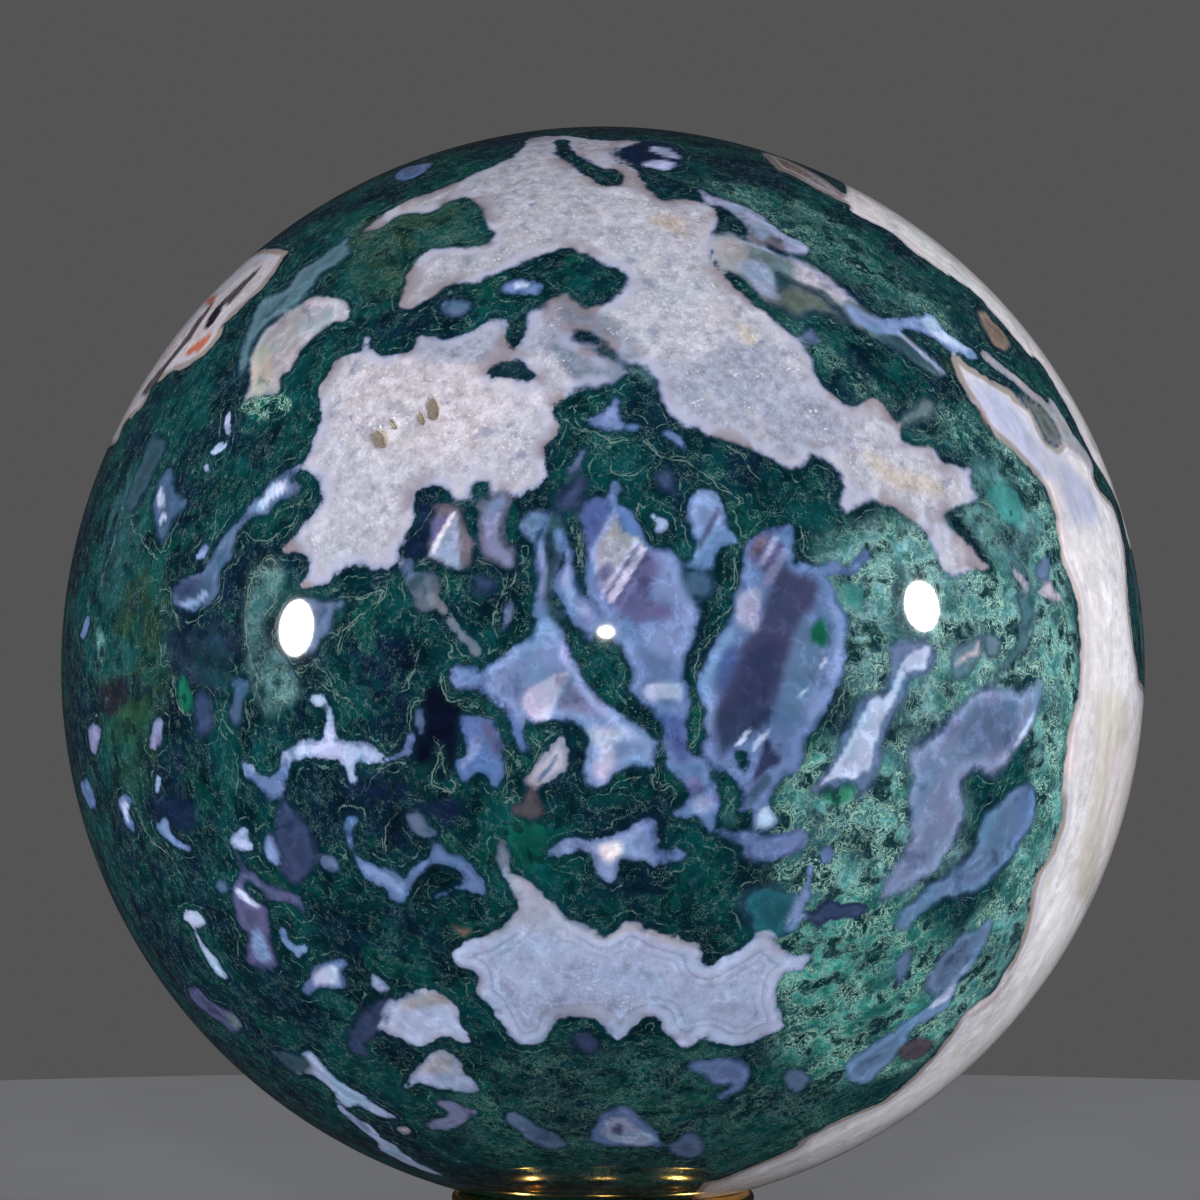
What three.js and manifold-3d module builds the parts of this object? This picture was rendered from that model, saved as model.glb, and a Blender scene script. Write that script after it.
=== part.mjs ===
// A polished moss agate sphere that rests in a small gold-coloured ring stand.
// Millimetres, +Z up. The origin is the centre of the ring's flat underside.
// The sphere is one solid stone with a few small open cavities in its quartz.
// The ring is one turned piece: a rounded lip with a conical seat, a waist and a flat foot.
import * as THREE from "three";
import { mergeVertices } from "three/addons/utils/BufferGeometryUtils.js";
import Module from "manifold-3d";

// Driving dimensions
const SPHERE_RADIUS = 50;
const RING_HEIGHT = 8;
const LIP_RADIUS = 14;
const WAIST_RADIUS = 12.7;
const FOOT_RADIUS = 14.8;
const BORE_RADIUS = 10.9;
const SEAT_RADIUS = 12; // where the stone touches the seat
const SEAT_GAP = 0.05; // air left between the stone and the seat
const LIP_BEAD = 0.75; // radius of the lip's rounded edge
const FOOT_THICKNESS = 1.1;
const FOOT_EDGE = 0.35; // radius of the foot's rounded edges

// Fineness of the round shapes
const SPHERE_SECTORS = 72;
const SPHERE_BANDS = 36;
const RING_SECTORS = 48;
const BEAD_STEPS = 6;
const EDGE_STEPS = 3;
const COVE_STEPS = 7;
const CAVITY_SIDES = 7;

// The open cavities: where each is on the stone, in degrees round from the front and up from
// the middle, how its long side is turned, its mouth's length and width, and its depth.
const CAVITIES = [
  { round: -24.3, up: 22.9, turn: 55, length: 2.4, width: 1.5, depth: 1.5 },
  { round: -23.0, up: 24.2, turn: 48, length: 1.5, width: 0.5, depth: 1.2 },
  { round: -19.9, up: 25.0, turn: 64, length: 1.6, width: 0.6, depth: 1.2 },
  { round: -18.7, up: 26.1, turn: 72, length: 2.8, width: 1.1, depth: 1.3 },
];
const CAVITY_FLOOR_SHARE = 0.35; // the floor's size as a share of the mouth's
const CUTTER_STANDS_PROUD = 0.6;

// The seat is a cone that the stone touches along one circle
const SEAT_SLOPE = SEAT_RADIUS / Math.sqrt(SPHERE_RADIUS ** 2 - SEAT_RADIUS ** 2);
const LIP_CREST_RADIUS = LIP_RADIUS - LIP_BEAD;
const SEAT_HEIGHT = RING_HEIGHT - (LIP_CREST_RADIUS - SEAT_RADIUS) * SEAT_SLOPE;
const SPHERE_CENTRE_HEIGHT =
  SEAT_HEIGHT + Math.sqrt(SPHERE_RADIUS ** 2 - SEAT_RADIUS ** 2) + SEAT_GAP;

const wasm = await Module();
wasm.setup();

// Points of an arc about (r, z), from one angle to another in degrees, 0 pointing outwards and 90 up.
function arc(r, z, radius, fromDeg, toDeg, steps) {
  return Array.from({ length: steps + 1 }, (_, i) => {
    const angle = THREE.MathUtils.degToRad(fromDeg + ((toDeg - fromDeg) * i) / steps);
    return new THREE.Vector2(r + radius * Math.cos(angle), z + radius * Math.sin(angle));
  });
}

// The waist's curve from the foot up to the lip: a parabola that is narrowest at half height.
function cove(lowZ, highZ, lowR, highR, steps) {
  return Array.from({ length: steps - 1 }, (_, i) => {
    const share = (i + 1) / steps;
    const fromMiddle = 2 * share - 1;
    const edge = fromMiddle < 0 ? lowR : highR;
    return new THREE.Vector2(
      WAIST_RADIUS + (edge - WAIST_RADIUS) * fromMiddle ** 2,
      lowZ + (highZ - lowZ) * share,
    );
  });
}

// A profile of radius and height turned about +Z, closed on itself.
function turned(profile) {
  const closed = [...profile, profile[0].clone()];
  return new THREE.LatheGeometry(closed, RING_SECTORS).rotateX(Math.PI / 2);
}

function ringGeometry() {
  const footTop = FOOT_THICKNESS - FOOT_EDGE;
  const beadCentre = RING_HEIGHT - LIP_BEAD;
  const beadFoot = arc(LIP_CREST_RADIUS, beadCentre, LIP_BEAD, -60, 90, BEAD_STEPS);
  const lipFoot = beadFoot[0];
  const seatInnerHeight = RING_HEIGHT - (LIP_CREST_RADIUS - BORE_RADIUS) * SEAT_SLOPE;
  const footInner = FOOT_RADIUS - FOOT_EDGE;
  const footShoulder = arc(footInner, footTop, FOOT_EDGE, 0, 70, EDGE_STEPS);
  const shoulder = footShoulder[footShoulder.length - 1];
  return turned([
    new THREE.Vector2(BORE_RADIUS, 0),
    ...arc(footInner, FOOT_EDGE, FOOT_EDGE, -90, 0, EDGE_STEPS),
    ...footShoulder,
    ...cove(shoulder.y, lipFoot.y, shoulder.x, lipFoot.x, COVE_STEPS),
    ...beadFoot,
    new THREE.Vector2(BORE_RADIUS, seatInnerHeight),
  ]);
}

// A closed geometry as a solid that can be cut.
function solidOf(geometry) {
  const bare = geometry.clone();
  bare.deleteAttribute("normal");
  bare.deleteAttribute("uv");
  const merged = mergeVertices(bare, 1e-4);
  return new wasm.Manifold(
    new wasm.Mesh({
      numProp: 3,
      vertProperties: merged.attributes.position.array,
      triVerts: new Uint32Array(merged.index.array),
    }),
  );
}

// A solid as a geometry with flat faces.
function geometryOf(solid) {
  const mesh = solid.getMesh();
  const geometry = new THREE.BufferGeometry()
    .setAttribute("position", new THREE.BufferAttribute(mesh.vertProperties, 3))
    .setIndex(new THREE.BufferAttribute(mesh.triVerts, 1))
    .toNonIndexed();
  geometry.computeVertexNormals();
  return geometry;
}

// A tapered plug with flat sides, lying at the stone's surface and pointing at its centre.
function cavityCutter({ round, up, turn, length, width, depth }) {
  const height = depth + CUTTER_STANDS_PROUD;
  const plug = new THREE.CylinderGeometry(1, CAVITY_FLOOR_SHARE, height, CAVITY_SIDES)
    .rotateX(Math.PI / 2) // its wide end now faces +Z
    .scale(length / 2, width / 2, 1)
    .rotateZ(THREE.MathUtils.degToRad(turn))
    .rotateX(Math.PI / 2) // its wide end now faces the front, -Y
    .translate(0, -(SPHERE_RADIUS - depth + height / 2), 0)
    .rotateX(-THREE.MathUtils.degToRad(up))
    .rotateZ(THREE.MathUtils.degToRad(round));
  return solidOf(plug);
}

function sphereGeometry() {
  const ball = new THREE.SphereGeometry(SPHERE_RADIUS, SPHERE_SECTORS, SPHERE_BANDS);
  const whole = solidOf(ball.rotateX(Math.PI / 2));
  const cut = CAVITIES.reduce((stone, one) => stone.subtract(cavityCutter(one)), whole);
  return geometryOf(cut);
}

function named(name, geometry, material) {
  const mesh = new THREE.Mesh(geometry, material);
  mesh.name = name;
  return mesh;
}

const agate = new THREE.MeshStandardMaterial({ color: 0x24483f, roughness: 0.08, metalness: 0 });
const gold = new THREE.MeshStandardMaterial({ color: 0xc9a24a, roughness: 0.22, metalness: 1 });

const object = new THREE.Group();
object.add(named("stand_ring", ringGeometry(), gold));
const sphere = named("agate_sphere", sphereGeometry(), agate);
sphere.position.z = SPHERE_CENTRE_HEIGHT;
object.add(sphere);

export default object;
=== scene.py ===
"""Looks of a polished moss agate sphere that rests in a small gold-coloured ring stand.

Metres, +Z up. The origin is the centre of the ring's flat underside, and -Y is the front.
The stone's pattern is worked out on the mesh's own points: each window, island and streak is an
outline on the stone, and its signed distance in millimetres says how far a point lies in or out
of it. The stone's material turns those distances into edges, moss, quartz grain and bands.
"""

import logging
import math
from collections.abc import Iterable
from dataclasses import dataclass, field
from enum import Enum

import bpy
import numpy as np
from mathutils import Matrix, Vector

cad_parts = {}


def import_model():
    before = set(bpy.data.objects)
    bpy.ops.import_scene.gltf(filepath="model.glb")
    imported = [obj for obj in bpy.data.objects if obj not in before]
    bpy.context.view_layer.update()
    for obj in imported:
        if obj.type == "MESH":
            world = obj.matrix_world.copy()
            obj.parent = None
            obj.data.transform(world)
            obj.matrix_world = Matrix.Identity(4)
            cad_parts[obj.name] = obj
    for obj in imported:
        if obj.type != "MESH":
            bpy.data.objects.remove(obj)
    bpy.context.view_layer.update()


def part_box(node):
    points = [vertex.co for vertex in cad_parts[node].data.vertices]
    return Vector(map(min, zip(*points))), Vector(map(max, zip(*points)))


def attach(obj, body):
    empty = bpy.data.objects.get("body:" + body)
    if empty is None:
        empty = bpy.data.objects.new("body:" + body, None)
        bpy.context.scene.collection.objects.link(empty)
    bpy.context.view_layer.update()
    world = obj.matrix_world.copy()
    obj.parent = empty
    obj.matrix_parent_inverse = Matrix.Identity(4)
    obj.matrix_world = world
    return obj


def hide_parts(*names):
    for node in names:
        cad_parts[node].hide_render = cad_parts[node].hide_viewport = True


LOG = logging.getLogger("moss_agate_sphere")
MM = 0.001
TINY = 1e-9  # what a length of nothing is divided by
Colour = tuple[float, float, float, float]
Socket = bpy.types.NodeSocket
Value = Socket | float | tuple  # what a node's input takes, besides a signal
Piece = bpy.types.Object


def linear(red: float, green: float, blue: float) -> Colour:
    """A colour as light, from its shares of 255 on a screen.

    Args:
        red, green, blue: the screen's values, 0 to 255.

    Returns:
        The linear red, green and blue, with full alpha.
    """
    shares = (value / 255 for value in (red, green, blue))
    light = (s / 12.92 if s <= 0.04045 else ((s + 0.055) / 1.055) ** 2.4 for s in shares)
    return (*light, 1.0)


def smooth(share: np.ndarray) -> np.ndarray:
    """A share held between 0 and 1 and eased at both ends: 3s^2 - 2s^3."""
    held = np.clip(share, 0, 1)
    return held * held * (3 - 2 * held)


def unit(vectors: np.ndarray) -> np.ndarray:
    """Each vector at length 1."""
    return vectors / np.linalg.norm(vectors, axis=-1, keepdims=True)


def from_front(directions: np.ndarray) -> np.ndarray:
    """The angle of each direction from the front, in radians."""
    return np.arccos(np.clip(-directions[:, 1], -1, 1))


class Tone(Enum):
    """The colours that the stone shows, as screen values."""

    QUARTZ = (195, 195, 210)
    CROWN = (192, 193, 208)
    GREY_QUARTZ = (168, 173, 194)
    VEIN = (236, 234, 240)
    CREAM = (220, 214, 208)
    WARM = (202, 192, 188)
    WHITE = (222, 218, 232)
    GREY_BRIDGE = (128, 140, 160)
    STEEL_DIM = (72, 108, 118)
    RIDGE = (24, 68, 76)
    # a lighter vein tone; on the vein's lower stretch part of its lightness is painted light, making up for
    # lamp light that falls off low on the stone
    VEIN_LOW = (250, 247, 251)
    LOBE_PINK = (209, 203, 214)
    TEAL_DEEP = (36, 94, 108)
    STREAK_BLUE = (108, 142, 182)
    MILK_LILAC = (178, 178, 192)
    MAP_PALE = (190, 196, 224)
    VEIN_ROSE = (234, 226, 230)
    SLATE_DIM = (64, 90, 120)
    HAZY_BLUE = (152, 160, 192)
    LILAC_DIM = (102, 106, 128)
    STEEL_DEPTH = (28, 46, 66)
    EMERALD = (22, 98, 78)
    EMERALD_LIGHT = (46, 128, 102)
    OLIVE_MOSS = (36, 72, 50)
    NAVY_LILAC = (66, 72, 106)
    STEEL = (94, 124, 160)
    OLIVE_STAIN = (86, 98, 92)
    BROWN_MAUVE = (102, 98, 112)
    MILK = (164, 163, 170)
    TAN = (190, 178, 170)
    BROWN = (82, 76, 84)
    OCHRE = (128, 112, 104)
    RUST = (196, 116, 92)
    PINK = (200, 192, 198)
    CLOUD = (172, 188, 226)
    MAP = (193, 208, 246)
    MAP_LOW = (184, 198, 236)
    ICE = (184, 198, 230)
    STAR = (124, 148, 194)
    BLUE = (100, 124, 170)
    FACET = (148, 163, 208)
    HAZY_LILAC = (178, 172, 208)
    PALE_LILAC = (188, 190, 220)
    DUSK = (100, 101, 147)
    DUSK_NAVY = (50, 60, 94)
    LENS = (90, 120, 174)
    DEEP_BLUE = (74, 94, 148)
    SLATE = (92, 114, 148)
    FIELD = (122, 138, 174)
    LAVENDER = (124, 130, 168)
    MAUVE = (86, 90, 128)
    NAVY = (52, 66, 98)
    TEAL = (52, 78, 92)
    GLASS = (88, 118, 132)
    GREY = (96, 116, 122)
    MOSS = (4, 44, 52)
    NIGHT = (8, 34, 44)
    BLACK_NAVY = (9, 16, 36)
    NAVY_DEPTH = (20, 36, 66)
    BROWN_DEPTH = (34, 34, 44)
    DEPTH = (10, 26, 50)
    SHADE = (2, 28, 36)
    GREEN = (6, 70, 72)
    LEAF = (12, 84, 74)
    FADED = (88, 138, 146)
    HAZE = (102, 140, 152)
    VEIL = (36, 80, 86)
    STAIN = (206, 194, 174)
    KNOT = (64, 136, 134)
    OLIVE = (34, 62, 50)
    PIT_WALL = (198, 184, 166)
    # painted shade, laid speckled in the middle of each cavity
    PIT_SHADE = (124, 110, 98)
    BAND = (112, 126, 166)
    MOTTLE = (112, 122, 152)
    CLEAR_QUARTZ = (136, 142, 170)
    SKIN = (184, 188, 218)
    FRINGE = (134, 118, 120)
    BLUE_FRINGE = (120, 136, 184)
    VEIN_LINE = (200, 202, 226)
    VEIN_MARGIN = (150, 138, 130)
    SHEET_RIM = (104, 138, 134)
    MOSS_RIM = (110, 142, 138)
    BLADE = (110, 146, 140)
    THREAD = (120, 146, 140)
    MOSS_EDGE = (12, 40, 58)
    GAP = (10, 46, 54)
    HOLLOW = (12, 56, 60)
    LIT_MOSS = (112, 174, 168)
    CURL = (124, 186, 170)
    CREST = (160, 206, 188)
    FLECK = (180, 208, 200)

    @property
    def light(self) -> Colour:
        """The colour as light."""
        return linear(*self.value)


class Role(Enum):
    """What an outline does to the stone."""

    WINDOW = "opens the moss and gives the window its tone"
    TINT = "tones what lies inside windows"
    ISLAND = "closes a window with moss"
    GROWTH = "tones the moss"


@dataclass(frozen=True)
class Patch:
    """One patch of the pattern.

    The outline is written as points of the 1200-pixel view from the front, as in an SVG points
    list. A point outside the stone's silhouette stands for one past the limb.
    """

    name: str
    role: Role
    tone: Tone
    outline: str
    soft: float = 0.25
    grain: float = 0.0
    bands: float = 0.0
    streaks: float = 0.0
    fibre: float | None = None
    angular: bool = False


@dataclass(frozen=True)
class View:
    """The view from the front that the outlines are drawn in."""

    centre: np.ndarray
    radius: float
    distance: float = 0.470
    aim_left: float = 0.00027
    aim_up: float = 0.00627
    focal_px: float = 5064.0
    frame_px: float = 1200.0
    limb_stretch: float = 3.5

    @property
    def camera(self) -> np.ndarray:
        """Where the camera stands, level with the stone's centre."""
        return self.centre + np.array([0, -self.distance, 0])

    @property
    def aim(self) -> np.ndarray:
        """The point that the camera looks at."""
        return self.centre + np.array([-self.aim_left, 0, self.aim_up])

    def axes(self) -> tuple[np.ndarray, np.ndarray, np.ndarray]:
        """The view's own directions.

        Returns:
            Its forward, right and up.
        """
        forward = unit(self.aim - self.camera)
        right = unit(np.cross(forward, [0, 0, 1]))
        return forward, right, np.cross(right, forward)

    def on_stone(self, points: np.ndarray) -> np.ndarray:
        """Directions from the stone's centre to where the view's rays meet it.

        A ray passes the centre at its nearest point, at m radii. For m under 1 it meets the
        stone at nearest/R - sqrt(1 - m^2) ray. Past the silhouette, the point goes round the
        limb by limb_stretch (m - 1) radians.

        Args:
            points: rows of x, y in the view's pixels.

        Returns:
            Rows of unit directions.
        """
        forward, right, up = self.axes()
        offset = (points - self.frame_px / 2) / self.focal_px
        ray = unit(forward + offset[:, :1] * right - offset[:, 1:] * up)
        towards = self.camera - self.centre
        nearest = (towards - ray * (ray @ towards)[:, None]) / self.radius
        m = np.linalg.norm(nearest, axis=1, keepdims=True)
        met = nearest - np.sqrt(np.clip(1 - m**2, 0, 1)) * ray
        past = np.clip((m - 1) * self.limb_stretch, 0, math.pi / 2)
        round_limb = np.cos(past) * nearest / m + np.sin(past) * ray
        return np.where(m < 1, met, round_limb)

    def mirrored(self, point: tuple[float, float]) -> tuple[np.ndarray, np.ndarray]:
        """Where a point of the view lies on the stone, and the way that its mirrored ray goes.

        The ray d meets the stone where its normal is n, and goes on along d - 2 (d.n) n.

        Args:
            point: x, y in the view's pixels.

        Returns:
            The place on the stone and the unit direction.
        """
        normal = self.on_stone(np.array([point], float))[0]
        place = self.centre + self.radius * normal
        ray = unit(place - self.camera)
        return place, ray - 2 * (ray @ normal) * normal


def chart(directions: np.ndarray, radius_mm: float) -> np.ndarray:
    """A flat chart of the stone about its front point, true along every line from it.

    A direction at angle t from the front goes to distance R t, in the direction of its x and z.

    Args:
        directions: rows of unit directions.
        radius_mm: the stone's radius in millimetres.

    Returns:
        Rows of two coordinates in millimetres.
    """
    angle = from_front(directions)
    stretch = radius_mm * angle / np.maximum(np.sin(angle), TINY)
    return directions[:, [0, 2]] * stretch[:, None]


def points_of(text: str) -> np.ndarray:
    """The rows of x, y in a points list."""
    return np.array([pair.split(",") for pair in text.split()], float)


def rounded(corners: np.ndarray, per_side: int = 4) -> np.ndarray:
    """A closed smooth curve through the corners.

    Each side is a Catmull-Rom cubic of its two corners and their two neighbours.

    Args:
        corners: rows of x, y.
        per_side: points on each side.

    Returns:
        Rows of x, y.
    """
    p0, p1, p2, p3 = (np.roll(corners, shift, axis=0)[:, None] for shift in (1, 0, -1, -2))
    t = np.linspace(0, 1, per_side, endpoint=False)[None, :, None]
    cubic = 2 * p1 + (p2 - p0) * t + (2 * p0 - 5 * p1 + 4 * p2 - p3) * t**2
    cubic = cubic + (3 * p1 - p0 - 3 * p2 + p3) * t**3
    return (cubic / 2).reshape(-1, 2)


def signed_distance(at: np.ndarray, outline: np.ndarray) -> np.ndarray:
    """Distance to a closed outline, less than zero inside it.

    The distance to each side is that to the nearest point on it. A point is inside when a line
    from it to the right crosses the outline an odd number of times.

    Args:
        at: rows of x, y.
        outline: rows of x, y.

    Returns:
        One distance for each row of at.
    """
    start, end = outline, np.roll(outline, -1, axis=0)
    side = end - start
    from_start = at[:, None] - start[None]
    share = (from_start * side).sum(-1) / np.maximum((side**2).sum(-1), TINY)
    gap = from_start - np.clip(share, 0, 1)[..., None] * side
    nearest = np.sqrt((gap**2).sum(-1).min(1))
    crosses = (start[:, 1] > at[:, None, 1]) != (end[:, 1] > at[:, None, 1])
    rise = np.where(np.abs(side[:, 1]) < TINY, TINY, side[:, 1])
    reach = start[:, 0] + (at[:, None, 1] - start[:, 1]) / rise * side[:, 0]
    inside = (crosses & (at[:, None, 0] < reach)).sum(1) % 2 == 1
    return np.where(inside, -nearest, nearest)


def open_curve(corners: np.ndarray, per_side: int = 5) -> np.ndarray:
    """A smooth open curve through the corners: the closed one, without the stretch that closes it."""
    ends = np.concatenate([corners, 2 * corners[-1:] - corners[-2:-1], 2 * corners[:1] - corners[1:2]])
    return rounded(ends, per_side)[: per_side * (len(corners) - 1) + 1]


def side_distance(at: np.ndarray, line: np.ndarray) -> np.ndarray:
    """Distance to an open line, less than zero on its right.

    Args:
        at: rows of x, y.
        line: rows of x, y.

    Returns:
        One distance for each row of at.
    """
    start, side = line[:-1], np.diff(line, axis=0)
    from_start = at[:, None] - start[None]
    share = np.clip((from_start * side).sum(-1) / np.maximum((side**2).sum(-1), TINY), 0, 1)
    gap = from_start - share[..., None] * side
    squared = (gap**2).sum(-1)
    nearest = squared.argmin(1)
    row = np.arange(len(at))
    across = side[nearest, 0] * from_start[row, nearest, 1] - side[nearest, 1] * from_start[row, nearest, 0]
    return np.sqrt(squared[row, nearest]) * np.where(across < 0, -1, 1)


# The roles, in short for the patches below.
W, T, I, G = Role.WINDOW, Role.TINT, Role.ISLAND, Role.GROWTH

# The moss's own tones over wide stretches, under everything else.
GROUND = (
    Patch("left_teal", G, Tone.NIGHT, "60,640 90,480 160,420 240,560 250,700 190,860 100,840",
          6, fibre=0.2),
    Patch("left_olive", G, Tone.OLIVE, "100,700 120,600 150,560 175,640 160,740 130,800", 3, fibre=0.3),
    Patch("crown_olive", G, Tone.OLIVE, "345,225 400,200 470,198 490,240 450,262 410,290 360,300",
          1.5, fibre=0.45),
    Patch("right_faded", G, Tone.HAZE, """820,560 860,530 940,520 1000,550 1050,620 1050,700 960,730 880,720
        840,700""", 4, fibre=0.9),
    Patch("right_edge", G, Tone.FADED, """1000,440 1050,505 1070,600 1078,660 1070,770 1054,870 1018,945
        976,1005 905,1066 880,1040 940,960 990,900 1012,860 1030,780 1020,700 1040,640 1030,560 990,500""",
          2.5, fibre=0.9),
    Patch("right_between", G, Tone.HAZE, "850,760 900,740 960,790 960,860 900,900 870,870 850,820",
          3, fibre=0.8),
    Patch("top_right", G, Tone.RIDGE, """740,330 800,320 900,400 960,400 1000,450 960,460 900,430 850,390
        800,350""", 3, fibre=0.6),
    Patch("top_ridge", G, Tone.RIDGE, "700,180 800,200 880,250 960,330 940,350 860,290 780,240",
          3, fibre=0.6),
    Patch("left_veil", G, Tone.VEIL, "100,560 108,520 130,470 150,470 146,530 128,570 118,604 100,600",
          2, fibre=0.3),
    Patch("left_frost", G, Tone.STEEL_DIM, """246,575 268,556 284,572 276,600 262,626 286,664 300,690
        270,716 254,690 244,640""", 1.4, fibre=0.55),
    Patch("right_teal", G, Tone.FADED, "970,470 1010,470 1040,520 1030,580 990,570 960,520",
          2.5, fibre=0.5),
    Patch("right_low", G, Tone.KNOT, "790,800 880,760 900,900 960,960 920,1060 800,1080 770,1000",
          5, fibre=1.0),
    Patch("right_knots", G, Tone.FADED, "800,760 860,740 900,760 890,860 850,900 800,900 780,820",
          4, fibre=1.0),
    Patch("bottom_green", G, Tone.GREEN, "480,1060 620,1040 780,1060 860,1110 700,1180 560,1180 440,1120",
          5, fibre=0.5),
    Patch("middle_green", G, Tone.GREEN, "500,800 560,800 560,900 500,890", 2, fibre=0.1),
    Patch("knot_green", G, Tone.KNOT, "835,579 846,580 858,584 869,594 862,604 866,613 852,609 841,598",
          0.4, fibre=0.3),
    Patch("window_cell", G, Tone.LEAF, "510,820 540,815 545,850 530,872 512,850", 0.6, fibre=0.05),
    Patch("pool_top", G, Tone.DEPTH, "392,700 404,690 408,720 404,748 394,744 398,722", 1.2, fibre=0.05),
    Patch("pool_left", G, Tone.NAVY_DEPTH, "340,778 380,774 410,788 400,802 360,800", 1.6, fibre=0.08),
    Patch("pool_mid", G, Tone.NAVY_DEPTH, "416,798 450,796 462,808 446,824 418,816", 1.4, fibre=0.05),
    Patch("pool_low", G, Tone.BLACK_NAVY, "392,812 410,806 408,822 398,846 390,850 386,832",
          1.0, fibre=0.05),
    Patch("pool_bowl", G, Tone.SHADE, "420,868 444,860 462,870 452,888 428,890 412,884", 1.0, fibre=0.08),
    Patch("pool_upper", G, Tone.DEPTH, "354,644 402,640 412,668 380,700 350,690 340,664", 2.0, fibre=0.2),
    Patch("bright_mid", G, Tone.LEAF, "411,768 432,764 434,790 414,792", 1.2, fibre=0.2),
    Patch("leaf_low_right", G, Tone.EMERALD_LIGHT, "820,785 850,780 850,802 825,802", 0.8, fibre=0.3),
)

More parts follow.
